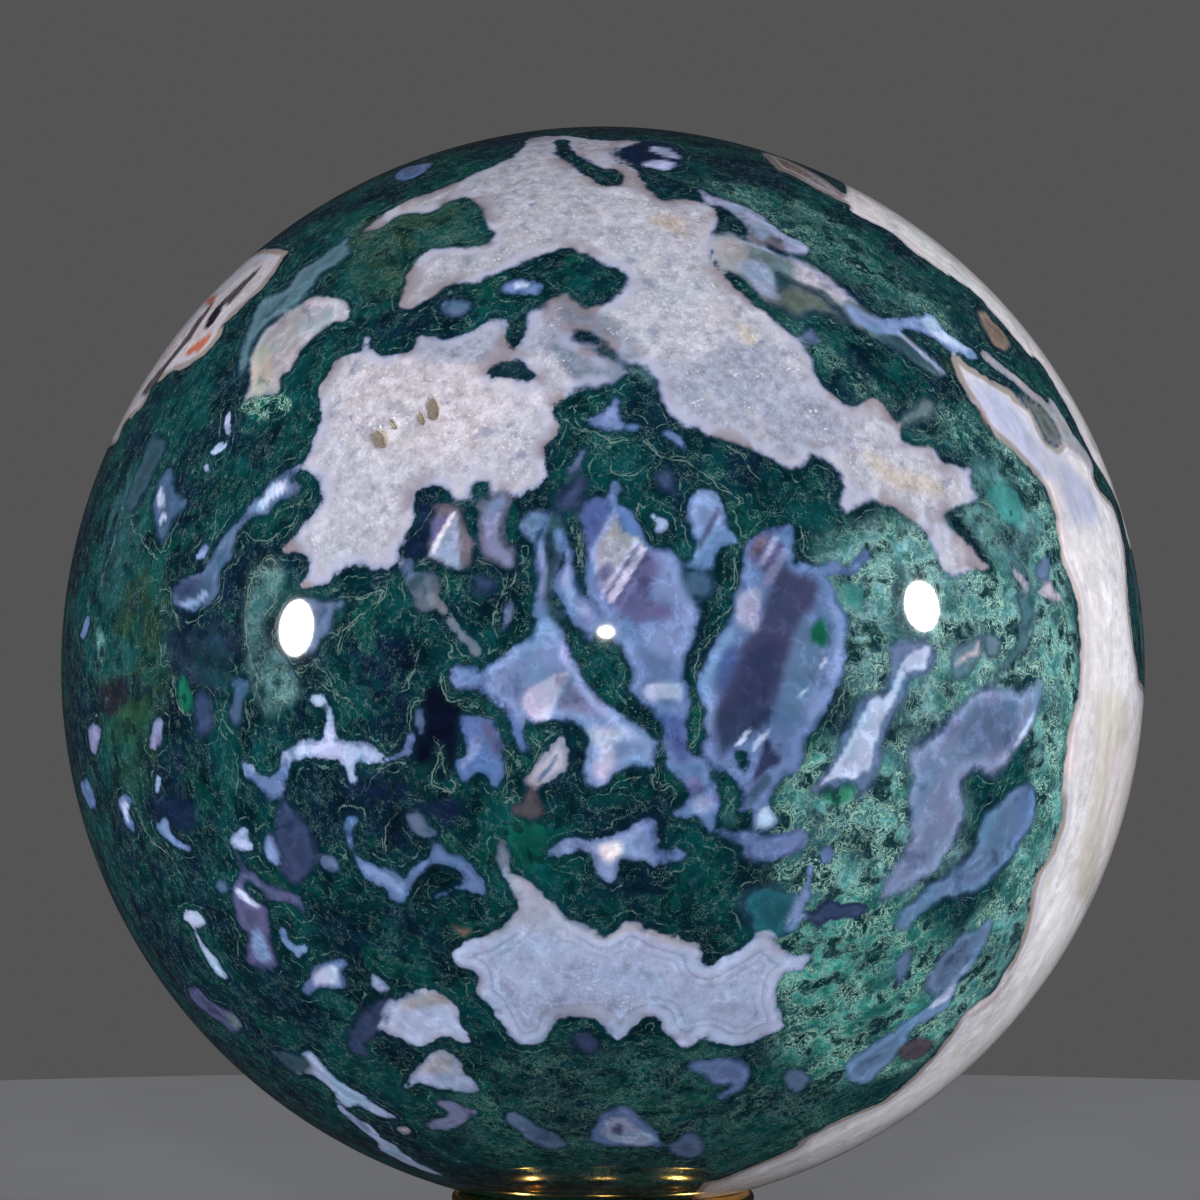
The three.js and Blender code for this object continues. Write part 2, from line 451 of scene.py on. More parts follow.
# The white quartz of the top half, with its moss islands.
QUARTZ = (
    Patch("crown_and_arm", W, Tone.CROWN, """531,138 560,136 600,140 634,141 614,149 612,158 634,170 648,190
        664,200 690,200 712,209 717,222 711,240 714,264 742,294 786,332 800,343 812,362 815,376 826,390
        845,405 858,408 870,401 880,403 896,424 902,440 914,446 933,448 942,461 960,467 970,470 972,488
        978,498 962,507 948,510 945,520 957,535 967,543 982,562 987,569 970,570 958,577 945,572 935,552
        925,530 895,508 880,501 862,501 852,510 846,512 838,500 845,488 840,474 828,460 812,455 800,467
        786,465 770,456 750,449 735,441 715,436 695,428 678,423 658,392 651,375 640,367 627,363 618,350
        605,340 575,325 555,304 564,294 574,303 590,308 616,297 627,283 622,272 600,262 570,249 540,254
        512,268 480,281 450,285 432,297 408,309 401,301 409,276 418,259 437,249 460,248 485,246 494,234
        487,225 481,206 470,198 447,201 432,211 400,215 378,228 364,230 384,214 412,199 445,187 505,161
        524,146""", 0.55, grain=1),
    Patch("lobe", W, Tone.QUARTZ, """545,309 528,312 526,330 520,344 512,348 504,340 507,325 500,318 484,324
        465,334 438,339 418,336 410,351 385,355 372,349 366,336 361,351 340,357 325,378 318,400 320,425
        311,447 302,466 318,478 322,492 316,508 296,536 282,549 304,555 308,570 303,586 322,585 345,566
        362,566 385,569 399,561 403,546 411,530 413,512 415,492 430,487 448,489 456,498 470,499 472,484
        488,482 490,502 504,494 520,497 535,487 548,476 543,455 556,432 554,408 575,392 600,382 612,372
        600,355 607,345 600,325 560,300""", 0.3, grain=1),
    Patch("bridge", W, Tone.GREY_BRIDGE, "540,322 556,296 590,310 622,330 640,360 612,382 585,385 556,352",
          0.8, grain=1),
    Patch("arm_grey", T, Tone.GREY_QUARTZ, """640,380 690,330 740,330 800,380 850,430 830,452 790,460
        740,435 680,415""", 3.5, grain=1),
    Patch("arm_light", T, Tone.CROWN, "600,290 660,270 720,290 740,330 690,360 640,350", 3, grain=1),
    Patch("arm_warm_end", T, Tone.WARM, """862,452 880,458 900,470 925,474 945,488 936,497 912,492 895,488
        876,472""", 1.4, grain=1),
    Patch("arm_beige", T, Tone.WARM, "736,326 748,326 758,336 756,346 744,343", 0.9, grain=1),
    Patch("crown_beige", T, Tone.WARM, "650,216 664,212 682,218 690,230 680,237 668,229 655,226",
          1.0, grain=1),
    Patch("lobe_pink", T, Tone.LOBE_PINK, "350,370 470,350 510,400 480,450 400,460 350,430", 3.5, grain=1),
    Patch("lobe_cool", T, Tone.CROWN, "310,480 350,470 380,500 370,560 310,575 295,545", 2.5, grain=0.9),
    Patch("lobe_top_speckle", T, Tone.GREY_QUARTZ, """400,345 440,325 500,312 545,300 560,330 520,360
        440,362""", 1.6, grain=1),
    Patch("lobe_navy", I, Tone.NIGHT, "508,325 518,320 524,330 519,345 511,347 507,338"),
    Patch("stem", I, Tone.MOSS, """556,140 568,140 572,150 598,167 612,168 624,174 622,185 606,187 594,181
        565,161 556,152"""),
    Patch("islet", I, Tone.MOSS, "571,334 580,330 594,334 607,343 604,348 574,341"),
    Patch("trail", I, Tone.STEEL_DIM, "588,347 612,350 628,364 652,372 658,392 648,384 606,358"),
    Patch("oval", I, Tone.VEIL, "489,370 500,361 520,360 533,370 531,379 520,382 493,377"),
    Patch("notch_string", I, Tone.MOSS, """413,494 420,488 436,487 446,490 453,495 457,499 470,500 474,492
        472,484 487,482 488,496 482,501 476,503 475,535 479,545 479,560 470,562 471,545 467,530 464,505
        452,504 444,499 430,501 420,502 416,525 404,543 405,560 399,562 400,545 408,533 412,525 413,508"""),
    Patch("notch_depth", G, Tone.NAVY_DEPTH, """418,502 432,503 440,512 432,540 427,556 408,562 404,545
        414,534 417,518""", 0.6, fibre=0.05),
    Patch("notch_window", W, Tone.BROWN_MAUVE, """431,505 445,502 455,506 464,511 468,524 471,540 471,562
        462,572 445,563 428,556 430,530 432,512""", 0.5),
    Patch("notch_slope", T, Tone.DUSK, "432,518 447,517 440,530 431,548 430,530", 0.4),
    Patch("notch_shard", T, Tone.HAZY_BLUE, "428,555 452,511 456,512 458,530 460,571 450,566 440,561",
          0.3, angular=True),
    Patch("notch_edge", T, Tone.WHITE, "452,512 455,514 435,552 428,556 430,550", 0.15, angular=True),
    Patch("notch_wall", W, Tone.LILAC_DIM, """478,500 490,499 504,492 510,500 509,515 505,525 505,540
        511,548 516,560 512,569 500,566 484,562 480,548 477,520""", 0.5),
    Patch("notch_cloud", T, Tone.LAVENDER, """492,498 504,498 502,510 498,520 496,535 498,545 506,552
        513,562 510,567 502,560 490,552 486,540 485,520 488,508""", 0.5),
    Patch("top_blue", W, Tone.BLUE, "500,290 516,280 540,282 545,291 520,294 505,293", 0.4),
    Patch("top_white", T, Tone.ICE, "516,283 530,282 528,287 518,288", 0.2),
    Patch("tongue_gap", W, Tone.SLATE, "440,305 455,299 470,302 466,312 448,316", 0.5),
)

# The upper left: milky streaks, the grey and pink matrix at the limb, small windows.
UPPER_LEFT = (
    Patch("milky_streak", W, Tone.MILK, """348,304 350,312 345,320 330,326 305,345 288,370 283,373 279,380
        277,392 255,397 245,400 250,380 250,360 258,340 270,325 300,303 320,297 340,300""",
          0.5, grain=0.15),
    Patch("milky_light", T, Tone.MILK_LILAC, "298,322 310,305 340,300 350,306 345,320 322,328 305,340",
          0.8),
    Patch("milky_tan", T, Tone.TAN, "256,350 268,345 272,372 264,392 252,395 252,370", 1.0),
    Patch("teal_window", W, Tone.GLASS, """262,300 285,290 300,270 325,255 345,240 350,250 335,265 320,275
        300,303 280,315 262,330 250,350 243,375 238,370 243,345 252,320""", 0.9),
    Patch("top_streak", W, Tone.BLUE, "395,176 404,168 431,163 426,171 415,178 402,181", 0.3),
    Patch("teal_band", G, Tone.NIGHT, "330,225 350,200 390,182 404,190 396,206 360,222", 0.8, fibre=0.2),
    Patch("leaf_specks", G, Tone.LEAF, "240,398 262,394 290,398 286,414 262,420 246,414", 0.4, fibre=1),
    Patch("matrix", W, Tone.PINK, """283,250 285,256 262,288 226,322 220,335 204,355 185,367 175,370 168,375
        152,386 141,408 124,424 116,443 106,446 108,424 118,404 122,380 139,360 146,336 168,318 176,296
        202,284 213,270 236,268 250,256""", 0.3, grain=0.7, streaks=1),
    Patch("matrix_white", T, Tone.QUARTZ, """275,252 262,262 240,284 215,300 170,345 130,400 118,430 112,425
        130,385 190,312 250,262""", 0.4, grain=0.4, streaks=1),
    Patch("rust_one", T, Tone.RUST, "187,352 200,340 212,333 205,345 195,354", 0.25),
    Patch("rust_two", T, Tone.RUST, "207,300 216,295 213,303 208,308", 0.25),
    Patch("matrix_slit", T, Tone.BROWN_DEPTH, "203,331 210,316 226,297 221,311 212,325", 0.15),
    Patch("matrix_line", T, Tone.BROWN, "170,358 186,337 200,317 214,302 203,320 190,339 176,356", 0.2),
    Patch("matrix_line_high", T, Tone.BROWN, "222,302 240,284 262,266 244,288 228,305", 0.2),
    Patch("matrix_line_low", T, Tone.BROWN, "140,396 156,374 176,352 164,372 148,394", 0.2),
    Patch("drop_high", W, Tone.ICE, "228,413 231,424 228,435 225,424", 0.2),
    Patch("drop_mid", W, Tone.ICE, "212,452 218,443 227,443 222,450 214,454", 0.2),
    Patch("drop_low", W, Tone.ICE, "203,472 205,465 209,466 208,472", 0.2),
    Patch("cell_ring", I, Tone.NIGHT, """305,425 293,450 284,462 268,470 257,474 247,455 256,442 268,430
        286,422"""),
    Patch("blue_tongue", W, Tone.SLATE, """300,466 275,477 262,492 248,507 238,520 228,532 222,540 213,555
        207,565 200,575 185,578 175,584 173,594 176,604 180,610 188,612 200,608 212,600 218,590 220,575
        226,565 232,556 233,545 236,535 243,528 252,518 265,514 280,500 292,498 299,492 298,485 292,480""",
          0.4),
    Patch("tongue_deep", T, Tone.SLATE_DIM, """228,544 224,560 214,576 213,592 202,602 190,608 180,600
        182,586 204,576 216,556""", 0.8),
    Patch("tongue_shade", T, Tone.NAVY, "175,584 192,578 203,580 194,590 180,602 174,596", 0.9),
    Patch("tongue_light", T, Tone.FACET, "180,608 184,602 196,598 203,591 208,594 200,602 190,607", 0.3),
    Patch("tongue_core", T, Tone.ICE, "258,510 262,498 270,488 282,482 287,485 283,492 272,498 264,508",
          0.3),
    Patch("grey_window", W, Tone.SLATE_DIM, """172,470 178,495 186,500 183,510 172,522 168,535 162,545
        158,535 153,505 155,490 163,476""", 0.6),
    Patch("grey_ice", T, Tone.ICE, "157,505 160,490 164,495 163,508", 0.3),
    Patch("grey_ice_low", T, Tone.ICE, "160,522 163,512 167,518", 0.25),
    Patch("dark_slate", W, Tone.TEAL, "150,440 165,440 160,460 140,500 130,510 127,500 142,460", 0.8),
    Patch("small_ice", W, Tone.STAR, "196,556 200,548 208,545 207,553 202,560", 0.3),
    Patch("rim_ice", W, Tone.BLUE, "80,636 85,622 89,615 88,628 84,638", 0.3),
    Patch("navy_field", G, Tone.STEEL_DEPTH, """163,640 172,626 200,630 228,622 242,640 236,662 222,690
        196,686 172,668""", 2.5, fibre=0.08),
    Patch("emerald_leaf", G, Tone.EMERALD, "178,684 184,676 189,688 194,700 193,709 186,714 179,706",
          0.4, fibre=0),
    Patch("left_moss_green", G, Tone.OLIVE_MOSS, "104,744 112,722 122,704 140,690 152,700 148,724 130,748",
          1.2, fibre=0.1),
    Patch("mauve_slot", W, Tone.NAVY, "196,699 203,694 209,700 212,712 213,726 209,736 200,738 196,726",
          0.7),
    Patch("blue_slot", W, Tone.SLATE_DIM, """234,681 243,679 250,684 247,692 242,700 243,716 238,726 231,721
        229,711 235,697""", 0.5),
    Patch("brown_field", G, Tone.BROWN_DEPTH, """100,690 108,680 120,674 127,684 128,700 120,712 108,718
        99,708""", 1.0, fibre=0.08),
    Patch("brown_field_high", G, Tone.VEIL, "106,640 118,636 132,648 134,664 124,672 108,668",
          1.4, fibre=0.15),
    Patch("left_mint", G, Tone.FADED, "96,628 103,634 105,648 102,664 98,652", 0.6, fibre=0.9),
    Patch("lamp_lavender", W, Tone.SLATE, """292,604 312,597 328,599 343,601 337,612 327,630 316,648 302,656
        291,648 287,626""", 0.8),
)

# The middle left, between the two big quartz bodies and the star.
MIDDLE_LEFT = (
    Patch("pear", W, Tone.TEAL, "405,573 415,572 432,574 438,590 437,605 432,612 420,612 412,600",
          0.5, grain=0.3),
    Patch("pear_ice", W, Tone.SLATE, "398,560 412,562 410,574 400,573", 0.3),
    Patch("pale_worm", W, Tone.GREY, """436,598 446,608 458,625 470,638 480,645 480,655 473,657 465,645
        452,630 432,600""", 0.3, grain=0.4),
    Patch("slate_drop", W, Tone.SLATE, "501,632 505,615 510,600 514,605 512,620 505,630", 0.4),
    Patch("navy_drop", W, Tone.NAVY, "474,580 482,576 494,577 497,586 490,593 478,592", 1.2),
    Patch("black_cell", G, Tone.BLACK_NAVY, """426,690 440,684 450,700 462,708 462,730 458,758 448,776
        440,745 432,758 424,768 414,762 411,740 415,716""", 1.4, fibre=0),
    Patch("cell_streak", W, Tone.SLATE, "419,710 423,712 422,732 419,728", 0.4),
    Patch("lens", W, Tone.LENS, """463,718 478,720 492,722 500,735 505,765 496,785 488,775 478,775 465,780
        458,772 458,762 466,758 468,748 463,738""", 0.35),
    Patch("lens_dark", T, Tone.MAUVE, "480,722 496,728 503,750 496,758 488,742", 0.8),
    Patch("lens_core", T, Tone.STAR, "468,745 478,735 483,740 476,756 464,768 460,766", 0.3),
    Patch("curved_strand", W, Tone.BLUE, "412,735 413,748 405,757 383,762 392,755 402,750", 0.25),
    Patch("ice_hook", W, Tone.ICE, "312,697 320,693 328,700 333,712 325,706 315,704", 0.3),
    Patch("blue_star_web", W, Tone.CLOUD, """331,705 336,735 350,744 366,742 384,757 372,763 358,762 353,785
        338,762 320,758 300,758 288,770 285,790 272,800 262,790 248,778 243,762 265,778 280,772 283,755
        300,742 320,740 326,725""", 0.35),
    Patch("web_blue", T, Tone.BLUE, "243,762 265,776 285,758 290,770 284,792 270,802 250,782", 0.5),
    Patch("white_shard", W, Tone.MILK_LILAC, "562,733 568,750 566,772 548,782 532,787 523,779",
          0.15, grain=0.5, angular=True),
    Patch("shard_split", T, Tone.SLATE, "534,783 552,760 560,748 555,764 540,784", 0.15, angular=True),
    Patch("shard_ice", T, Tone.ICE, "538,783 550,778 556,770 548,784", 0.15, angular=True),
    Patch("brown_nest", W, Tone.BROWN, "528,788 535,795 545,815 535,818 520,815 512,808 522,803", 0.6),
    Patch("pale_strand", W, Tone.GREY, "500,838 506,845 510,860 512,872 503,870 498,855", 0.5, grain=0.4),
)

# The middle: the star, the tall window and the crystal between them.
MIDDLE = (
    Patch("star", W, Tone.STAR, """458,666 475,665 481,671 488,662 500,656 523,641 531,634 538,606 540,594
        548,596 553,618 567,640 580,672 603,702 614,708 622,716 640,728 655,742 656,755 648,768 630,768
        612,775 600,785 588,783 582,770 586,752 590,738 572,720 548,722 538,722 524,721 524,738 528,748
        522,751 513,738 507,716 499,704 476,691 465,692 456,690 452,680""", 0.5),
    Patch("star_left", T, Tone.BLUE, "450,672 462,660 480,668 490,680 486,698 465,695 452,688", 1.2),
    Patch("star_foot", T, Tone.LENS, "503,714 516,718 530,740 524,755 510,738", 0.8),
    Patch("star_fold", T, Tone.PALE_LILAC, """521,703 527,690 555,674 569,671 570,677 555,704 549,720
        539,724 529,715""", 0.3, angular=True),
    Patch("star_band", T, Tone.FACET, "562,640 574,668 590,690 642,738 632,742 610,724 581,690 560,655",
          0.3, angular=True),
    Patch("star_triangle", T, Tone.LAVENDER, "571,680 588,703 598,718 580,713 556,711 561,698",
          0.25, angular=True),
    # Painted reflection: a pale soft patch where the front lamp's blurred image shows below it, toned into
    # the star.
    Patch("painted_lamp_reflection", T, Tone.PALE_LILAC, """588,730 622,729 625,738 614,744 614,762 604,780 594,770 600,752
        592,742""", 1.0),
    Patch("strand_knob", W, Tone.SLATE, "519,527 524,516 533,511 546,511 548,517 534,541", 0.5),
    Patch("strand_left", W, Tone.BLUE, """545,520 552,510 556,522 548,536 547,548 553,572 549,597 556,610
        545,614 534,616 539,580 535,566 537,542""", 0.5),
    Patch("strand_light", T, Tone.FACET, "541,540 545,548 543,560 549,572 543,600 541,585 544,572 539,558",
          0.4),
    Patch("strand_gap", W, Tone.TEAL, """556,512 566,530 562,560 553,575 552,596 562,612 556,620 548,600
        550,560 549,535""", 0.8),
    Patch("strand_mid", W, Tone.BLUE, """558,533 573,552 575,570 579,586 586,598 606,618 600,632 590,640
        582,630 570,616 556,590 558,575 564,558""", 0.5),
    Patch("strand_mid_light", T, Tone.FACET, """566,548 570,560 570,578 576,592 588,606 592,620 578,612
        566,596 562,580 567,566""", 0.5),
    Patch("tall_window", W, Tone.BLUE, """612,483 618,490 620,503 632,510 638,524 650,546 668,551 680,566
        698,600 699,616 694,630 692,645 686,660 684,675 690,690 684,716 668,722 652,712 634,694 628,690
        632,672 626,652 612,640 600,622 587,590 584,570 586,552 580,515 586,500 597,497 606,498""", 0.5),
    Patch("tall_deep", T, Tone.DEEP_BLUE, "584,503 600,497 611,506 606,520 590,548 586,535 581,518", 0.8),
    Patch("tall_corner", T, Tone.LENS, "618,508 632,514 641,530 636,537 622,533 616,522", 0.6),
    Patch("tall_mauve", T, Tone.DUSK, """646,555 656,556 657,580 649,592 655,602 673,610 665,618 648,620
        640,625 624,616 617,604 632,584""", 0.8),
    Patch("tall_light", T, Tone.STAR, """660,552 684,576 697,602 692,640 684,660 650,650 640,632 668,620
        678,606 655,594 660,575""", 1.5),
    Patch("crystal", T, Tone.MILK, "614,512 603,530 592,553 604,597 612,602 648,552 638,538 622,532",
          0.25, angular=True),
    Patch("crystal_rim", T, Tone.FACET, "612,511 618,516 600,545 597,556 603,580 609,596 603,600 590,553",
          0.2, angular=True),
    Patch("crystal_core", T, Tone.GREY_QUARTZ, "599,556 612,537 623,543 625,552 617,560 617,568 606,571",
          0.6, grain=1),
    Patch("crystal_dirt", T, Tone.DUSK, "600,567 610,563 614,571 604,582 598,575", 0.5, grain=1),
    Patch("crystal_band", T, Tone.PALE_LILAC, "647,551 612,604 605,599 640,548", 0.15, angular=True),
    Patch("crystal_strip", T, Tone.PALE_LILAC, "639,542 606,594 602,590 635,540", 0.15, angular=True),
    Patch("crystal_line", T, Tone.LAVENDER, "641,545 607,598 604,596 638,542", 0.08, angular=True),
    Patch("crystal_shade", T, Tone.MAUVE, "649,555 618,606 614,602 645,553", 0.2, angular=True),
    Patch("window_speckle", T, Tone.STAR, "602,652 618,640 632,655 638,680 628,692 612,682", 1.2),
    Patch("frame_crystal", T, Tone.CLOUD, "645,688 652,684 678,684 681,697 679,710 666,711 646,697",
          0.4, grain=0.5),
    Patch("frame_line", T, Tone.ICE, "649,683 679,683 679,686 649,686", 0.15, angular=True),
    Patch("stem_low", W, Tone.BLUE, """650,706 684,706 685,735 692,755 705,757 713,770 724,798 718,812
        712,833 697,820 684,818 673,813 689,798 684,784 670,768 664,732""", 0.5),
    Patch("stem_mauve", T, Tone.DEEP_BLUE, "660,716 682,716 684,740 690,754 684,762 674,754 668,738", 0.9),
    Patch("stem_hole", T, Tone.DUSK, "687,779 699,778 703,790 696,798 689,791", 0.5),
    Patch("stem_foot", T, Tone.FACET, "692,800 702,796 712,802 708,812 696,812", 0.8, grain=0.3),
    Patch("finger", I, Tone.MOSS, """700,655 693,672 691,710 688,725 692,753 697,756 701,748 700,735 702,722
        701,706 704,694 698,682 700,668 708,655"""),
    Patch("high_star", W, Tone.BLUE, """583,417 597,418 614,399 619,402 621,413 630,424 638,424 637,433
        622,431 606,430 594,426""", 0.5),
    Patch("high_star_light", T, Tone.STAR, "604,421 613,404 618,418 622,427 610,428", 0.5),
    Patch("blue_islet", W, Tone.BLUE, "665,433 673,431 681,437 686,447 682,449 672,440", 0.5),
    Patch("navy_islet", W, Tone.NAVY, "658,474 672,473 675,490 661,492", 1.2),
    Patch("ice_bean", W, Tone.CLOUD, "652,516 658,520 665,521 668,527 666,532 660,534 655,530 656,524",
          0.3),
    Patch("blue_drop", W, Tone.STAR, """687,506 697,492 706,489 714,492 723,506 726,527 732,533 736,540
        728,545 720,547 715,556 714,566 705,572 688,567 693,560 697,548 692,535""", 0.45),
    Patch("blue_drop_low", T, Tone.BLUE, "720,530 738,538 718,548 714,570 692,570 700,556", 0.6),
    Patch("drop_light", T, Tone.STAR, "700,494 714,494 720,506 704,532 696,540 692,522 694,505", 0.8),
    Patch("drop_line", T, Tone.MAUVE, "697,544 717,507 722,510 701,549", 0.35, angular=True),
    Patch("slate_patch", W, Tone.SLATE_DIM, "684,574 700,571 714,578 714,592 702,602 690,594", 0.9),
    Patch("short_streak", W, Tone.SLATE, "568,472 580,452 584,455 573,474", 0.5),
    Patch("slate_top", W, Tone.NAVY, "556,498 572,482 584,480 582,500 570,512 560,512", 1.2),
)

# The big dark window right of the middle, and the web of small ones below it.
BIG_WINDOW = (
    Patch("big", W, Tone.BLUE, """778,526 790,527 793,538 792,555 802,566 818,573 830,583 838,600 846,614
        848,632 846,652 845,672 834,692 826,710 806,742 800,760 780,765 762,772 740,776 722,770 704,762
        706,742 703,722 705,708 697,686 706,656 718,640 732,612 733,600 741,588 745,552 752,538""", 0.5),
    Patch("big_band", W, Tone.BLUE, """792,552 803,562 816,567 830,563 846,566 860,557 866,550 870,558
        862,569 850,576 832,574 818,579 800,572""", 0.5),
    Patch("big_dark", T, Tone.NAVY_LILAC, """785,560 790,568 800,575 815,578 819,586 812,608 800,626 793,645
        786,668 780,690 768,712 750,728 738,742 724,750 716,738 719,700 728,668 742,645 752,632 762,615
        766,598 774,578""", 1.1),
    Patch("big_black", T, Tone.DUSK_NAVY, "738,690 745,660 762,642 778,650 772,690 755,714 738,724 724,708",
          2.4),
    Patch("big_blue", T, Tone.DEEP_BLUE, "720,652 735,646 738,660 730,682 721,690 717,670", 1.2),
    Patch("big_rim", T, Tone.STAR, """715,644 728,628 734,636 720,656 712,690 717,712 714,735 706,750
        704,694 699,680 703,660""", 0.8),
    Patch("big_teal", T, Tone.STEEL, "800,626 814,618 828,640 818,680 800,710 786,718 786,690 792,655",
          1.8),
    Patch("big_right", T, Tone.STAR, """832,598 847,625 844,668 826,704 812,722 806,704 824,662 834,640
        830,612""", 1.2),
    Patch("big_cloud", T, Tone.HAZY_BLUE, """742,592 757,589 761,598 758,612 759,626 750,630 740,624 735,612
        737,600""", 0.7),
    Patch("big_brown", T, Tone.MAUVE, "748,556 752,541 762,533 776,534 764,552 754,566", 0.7),
    Patch("big_rust", T, Tone.BROWN_MAUVE, "753,554 756,543 763,537 766,542 760,552", 0.5),
    Patch("twin_band", T, Tone.HAZY_BLUE, "774,535 779,538 763,568 758,565", 0.25, angular=True),
    Patch("twin_dark", T, Tone.MAUVE, "780,540 784,546 767,574 761,569", 0.12, angular=True),
    Patch("twin_band_two", T, Tone.LAVENDER, "784,548 788,553 773,582 763,588 766,573 772,566",
          0.2, angular=True),
    Patch("green_spot", T, Tone.EMERALD, """816,622 821,617 825,622 829,634 827,643 822,648 815,643 811,640
        811,630""", 0.5),
    Patch("tick_one", T, Tone.ICE, "819,667 826,657 828,659 822,669", 0.1, angular=True),
    Patch("tick_two", T, Tone.ICE, "799,696 805,687 807,689 801,698", 0.1, angular=True),
    Patch("web", W, Tone.BLUE, """700,747 716,735 735,746 752,740 770,721 790,722 803,742 800,770 784,774
        772,792 768,806 776,820 770,831 757,828 752,812 738,812 742,800 736,782 724,770 712,770""", 0.5),
    Patch("web_dark", T, Tone.NAVY, "714,712 735,708 770,705 768,722 732,750 718,752", 1.6),
    Patch("web_diagonal", T, Tone.SLATE_DIM, "741,802 752,788 766,774 772,780 762,794 752,806", 0.5),
    Patch("eye_left", I, Tone.MOSS, "735,757 741,751 749,753 748,769 742,772 736,767"),
    Patch("eye_mid", T, Tone.DUSK_NAVY, """753,777 763,750 766,739 770,741 774,752 781,757 778,765 769,768
        757,779""", 0.4),
    Patch("eye_low", I, Tone.VEIL, "711,776 718,774 727,779 739,798 735,808 736,826 724,826 719,794"),
    Patch("web_shard", T, Tone.ICE, "736,745 742,736 748,728 750,731 745,741 738,747", 0.15, angular=True),
    Patch("web_shard_two", T, Tone.ICE, "752,750 755,742 762,733 768,730 768,736 761,743 757,751",
          0.2, angular=True),
    Patch("web_bit", W, Tone.ICE, "761,826 762,816 768,811 774,818 771,824 765,829", 0.35),
    Patch("low_veil", W, Tone.FIELD, "742,848 758,834 780,832 800,828 808,836 800,848 780,858 756,862",
          1.2),
)

# Pale threads of moss, as open lines.
THREADS = """
441,677 443,690 448,700 458,701
458,706 476,716 488,716 496,722 503,746 510,752 517,762
505,764 507,776 506,788
534,742 539,750 533,762
413,503 412,520 408,532 403,540 401,550 404,562
432,510 424,524 415,534
479,561 490,564 498,569 502,578 505,588 507,591 500,597 497,606 492,624 496,632
506,505 505,520 506,537 511,542 514,548 519,554 523,558 519,564 516,568 515,578 511,592 511,612
404,592 403,580 421,564 431,563 438,571 446,576 448,588 443,600
432,571 439,585 441,600 447,612 467,640 476,652
318,681 340,697 348,701 356,710
384,590 377,602 365,612
400,692 408,688 409,680 415,670 418,655
410,727 411,710 415,702 422,700
378,745 388,752 396,745 401,735
443,640 453,646 450,657 466,655
550,412 560,402 570,396 582,391
566,420 580,430 600,434 610,442 624,440
608,455 616,474 630,476 642,470 651,461
645,442 655,452 670,460 682,460 706,475 716,485 727,492 740,500
718,440 742,456 748,468 757,477
368,786 375,775 393,762 405,763
386,850 385,835 388,823 394,817
505,802 512,800 511,812 519,820
498,838 508,848 512,865 521,873
746,534 742,570 744,581 738,590 733,605 722,620 718,634 706,644 694,672 701,688 699,705 700,722 696,738 \
690,746
640,728 652,730 661,738 660,750 655,762 656,775 653,785 660,792 670,786 674,794 667,799
741,536 738,552 733,566 735,580 730,590
801,530 805,545 803,554 815,561 826,556
836,581 847,603 856,609
850,672 838,702 818,731 811,736 806,766 800,779 788,781 780,790 785,802
770,806 778,812 783,825 787,833
728,813 740,808 753,812 757,822 752,832
436,742 440,752 431,782 441,788 451,793 455,786 446,775 440,748
520,800 530,808 546,812 556,806 552,796
578,534 577,555 588,592 596,604
583,534 582,556 586,575 594,594
640,500 636,514 644,526 650,538
298,503 290,507 280,511 274,513 272,508
299,507 297,515 292,525 282,530 275,536 268,540 258,541 250,538 245,532 240,535 235,541 233,548 235,555 \
232,564 225,570 220,576 219,585 220,595 217,600 208,604 200,609 199,622
162,590 167,589 170,592 171,602 174,611 178,626
164,611 159,612 155,617 157,624 160,642 161,665 168,664 173,671 171,690
265,562 258,568 252,576 249,585 247,600 245,615 247,645 250,655 252,665 256,675 257,685 260,700 266,718
252,575 258,570 266,560 272,558 278,566 281,575 279,583 275,592
252,602 262,596 270,594 274,600 272,608 264,615 258,625
275,625 272,635 274,645 280,655 285,662 290,668 294,678 288,684 278,686 275,692 283,698 281,708 279,718
290,668 300,672 308,668 316,660 318,668 326,672 336,690 344,700 356,712
232,662 236,670 238,678 241,683
211,698 212,712 215,722 219,728 232,748 238,765 236,790
245,702 246,712 250,722 262,728
128,500 130,512 134,532 141,535 144,545 152,555 158,558 164,548 168,538 174,528 183,508
122,505 118,520 113,545 104,570 101,585
175,690 178,704 184,714 190,716 196,706
218,500 216,520 211,545 206,560
334,600 345,596 362,600 375,592 384,590 377,602 365,612 352,622 342,634 338,650
318,632 330,632 340,636
965,505 975,512 985,520 993,530 1000,540 1008,545
958,514 972,519 982,526 988,535 995,545 1006,557 1012,570
972,500 985,503 992,508 997,515 1005,525 1016,540
975,537 983,541 992,541 1004,548 1016,556 1028,570 1036,584
1040,590 1050,594 1058,604 1064,622
130,790 138,815 146,832 156,846 166,852 176,866 186,884
965,640 950,650 942,665 946,680 955,690 962,700
1000,665 985,672 970,682 958,696 948,706
""".strip().splitlines()

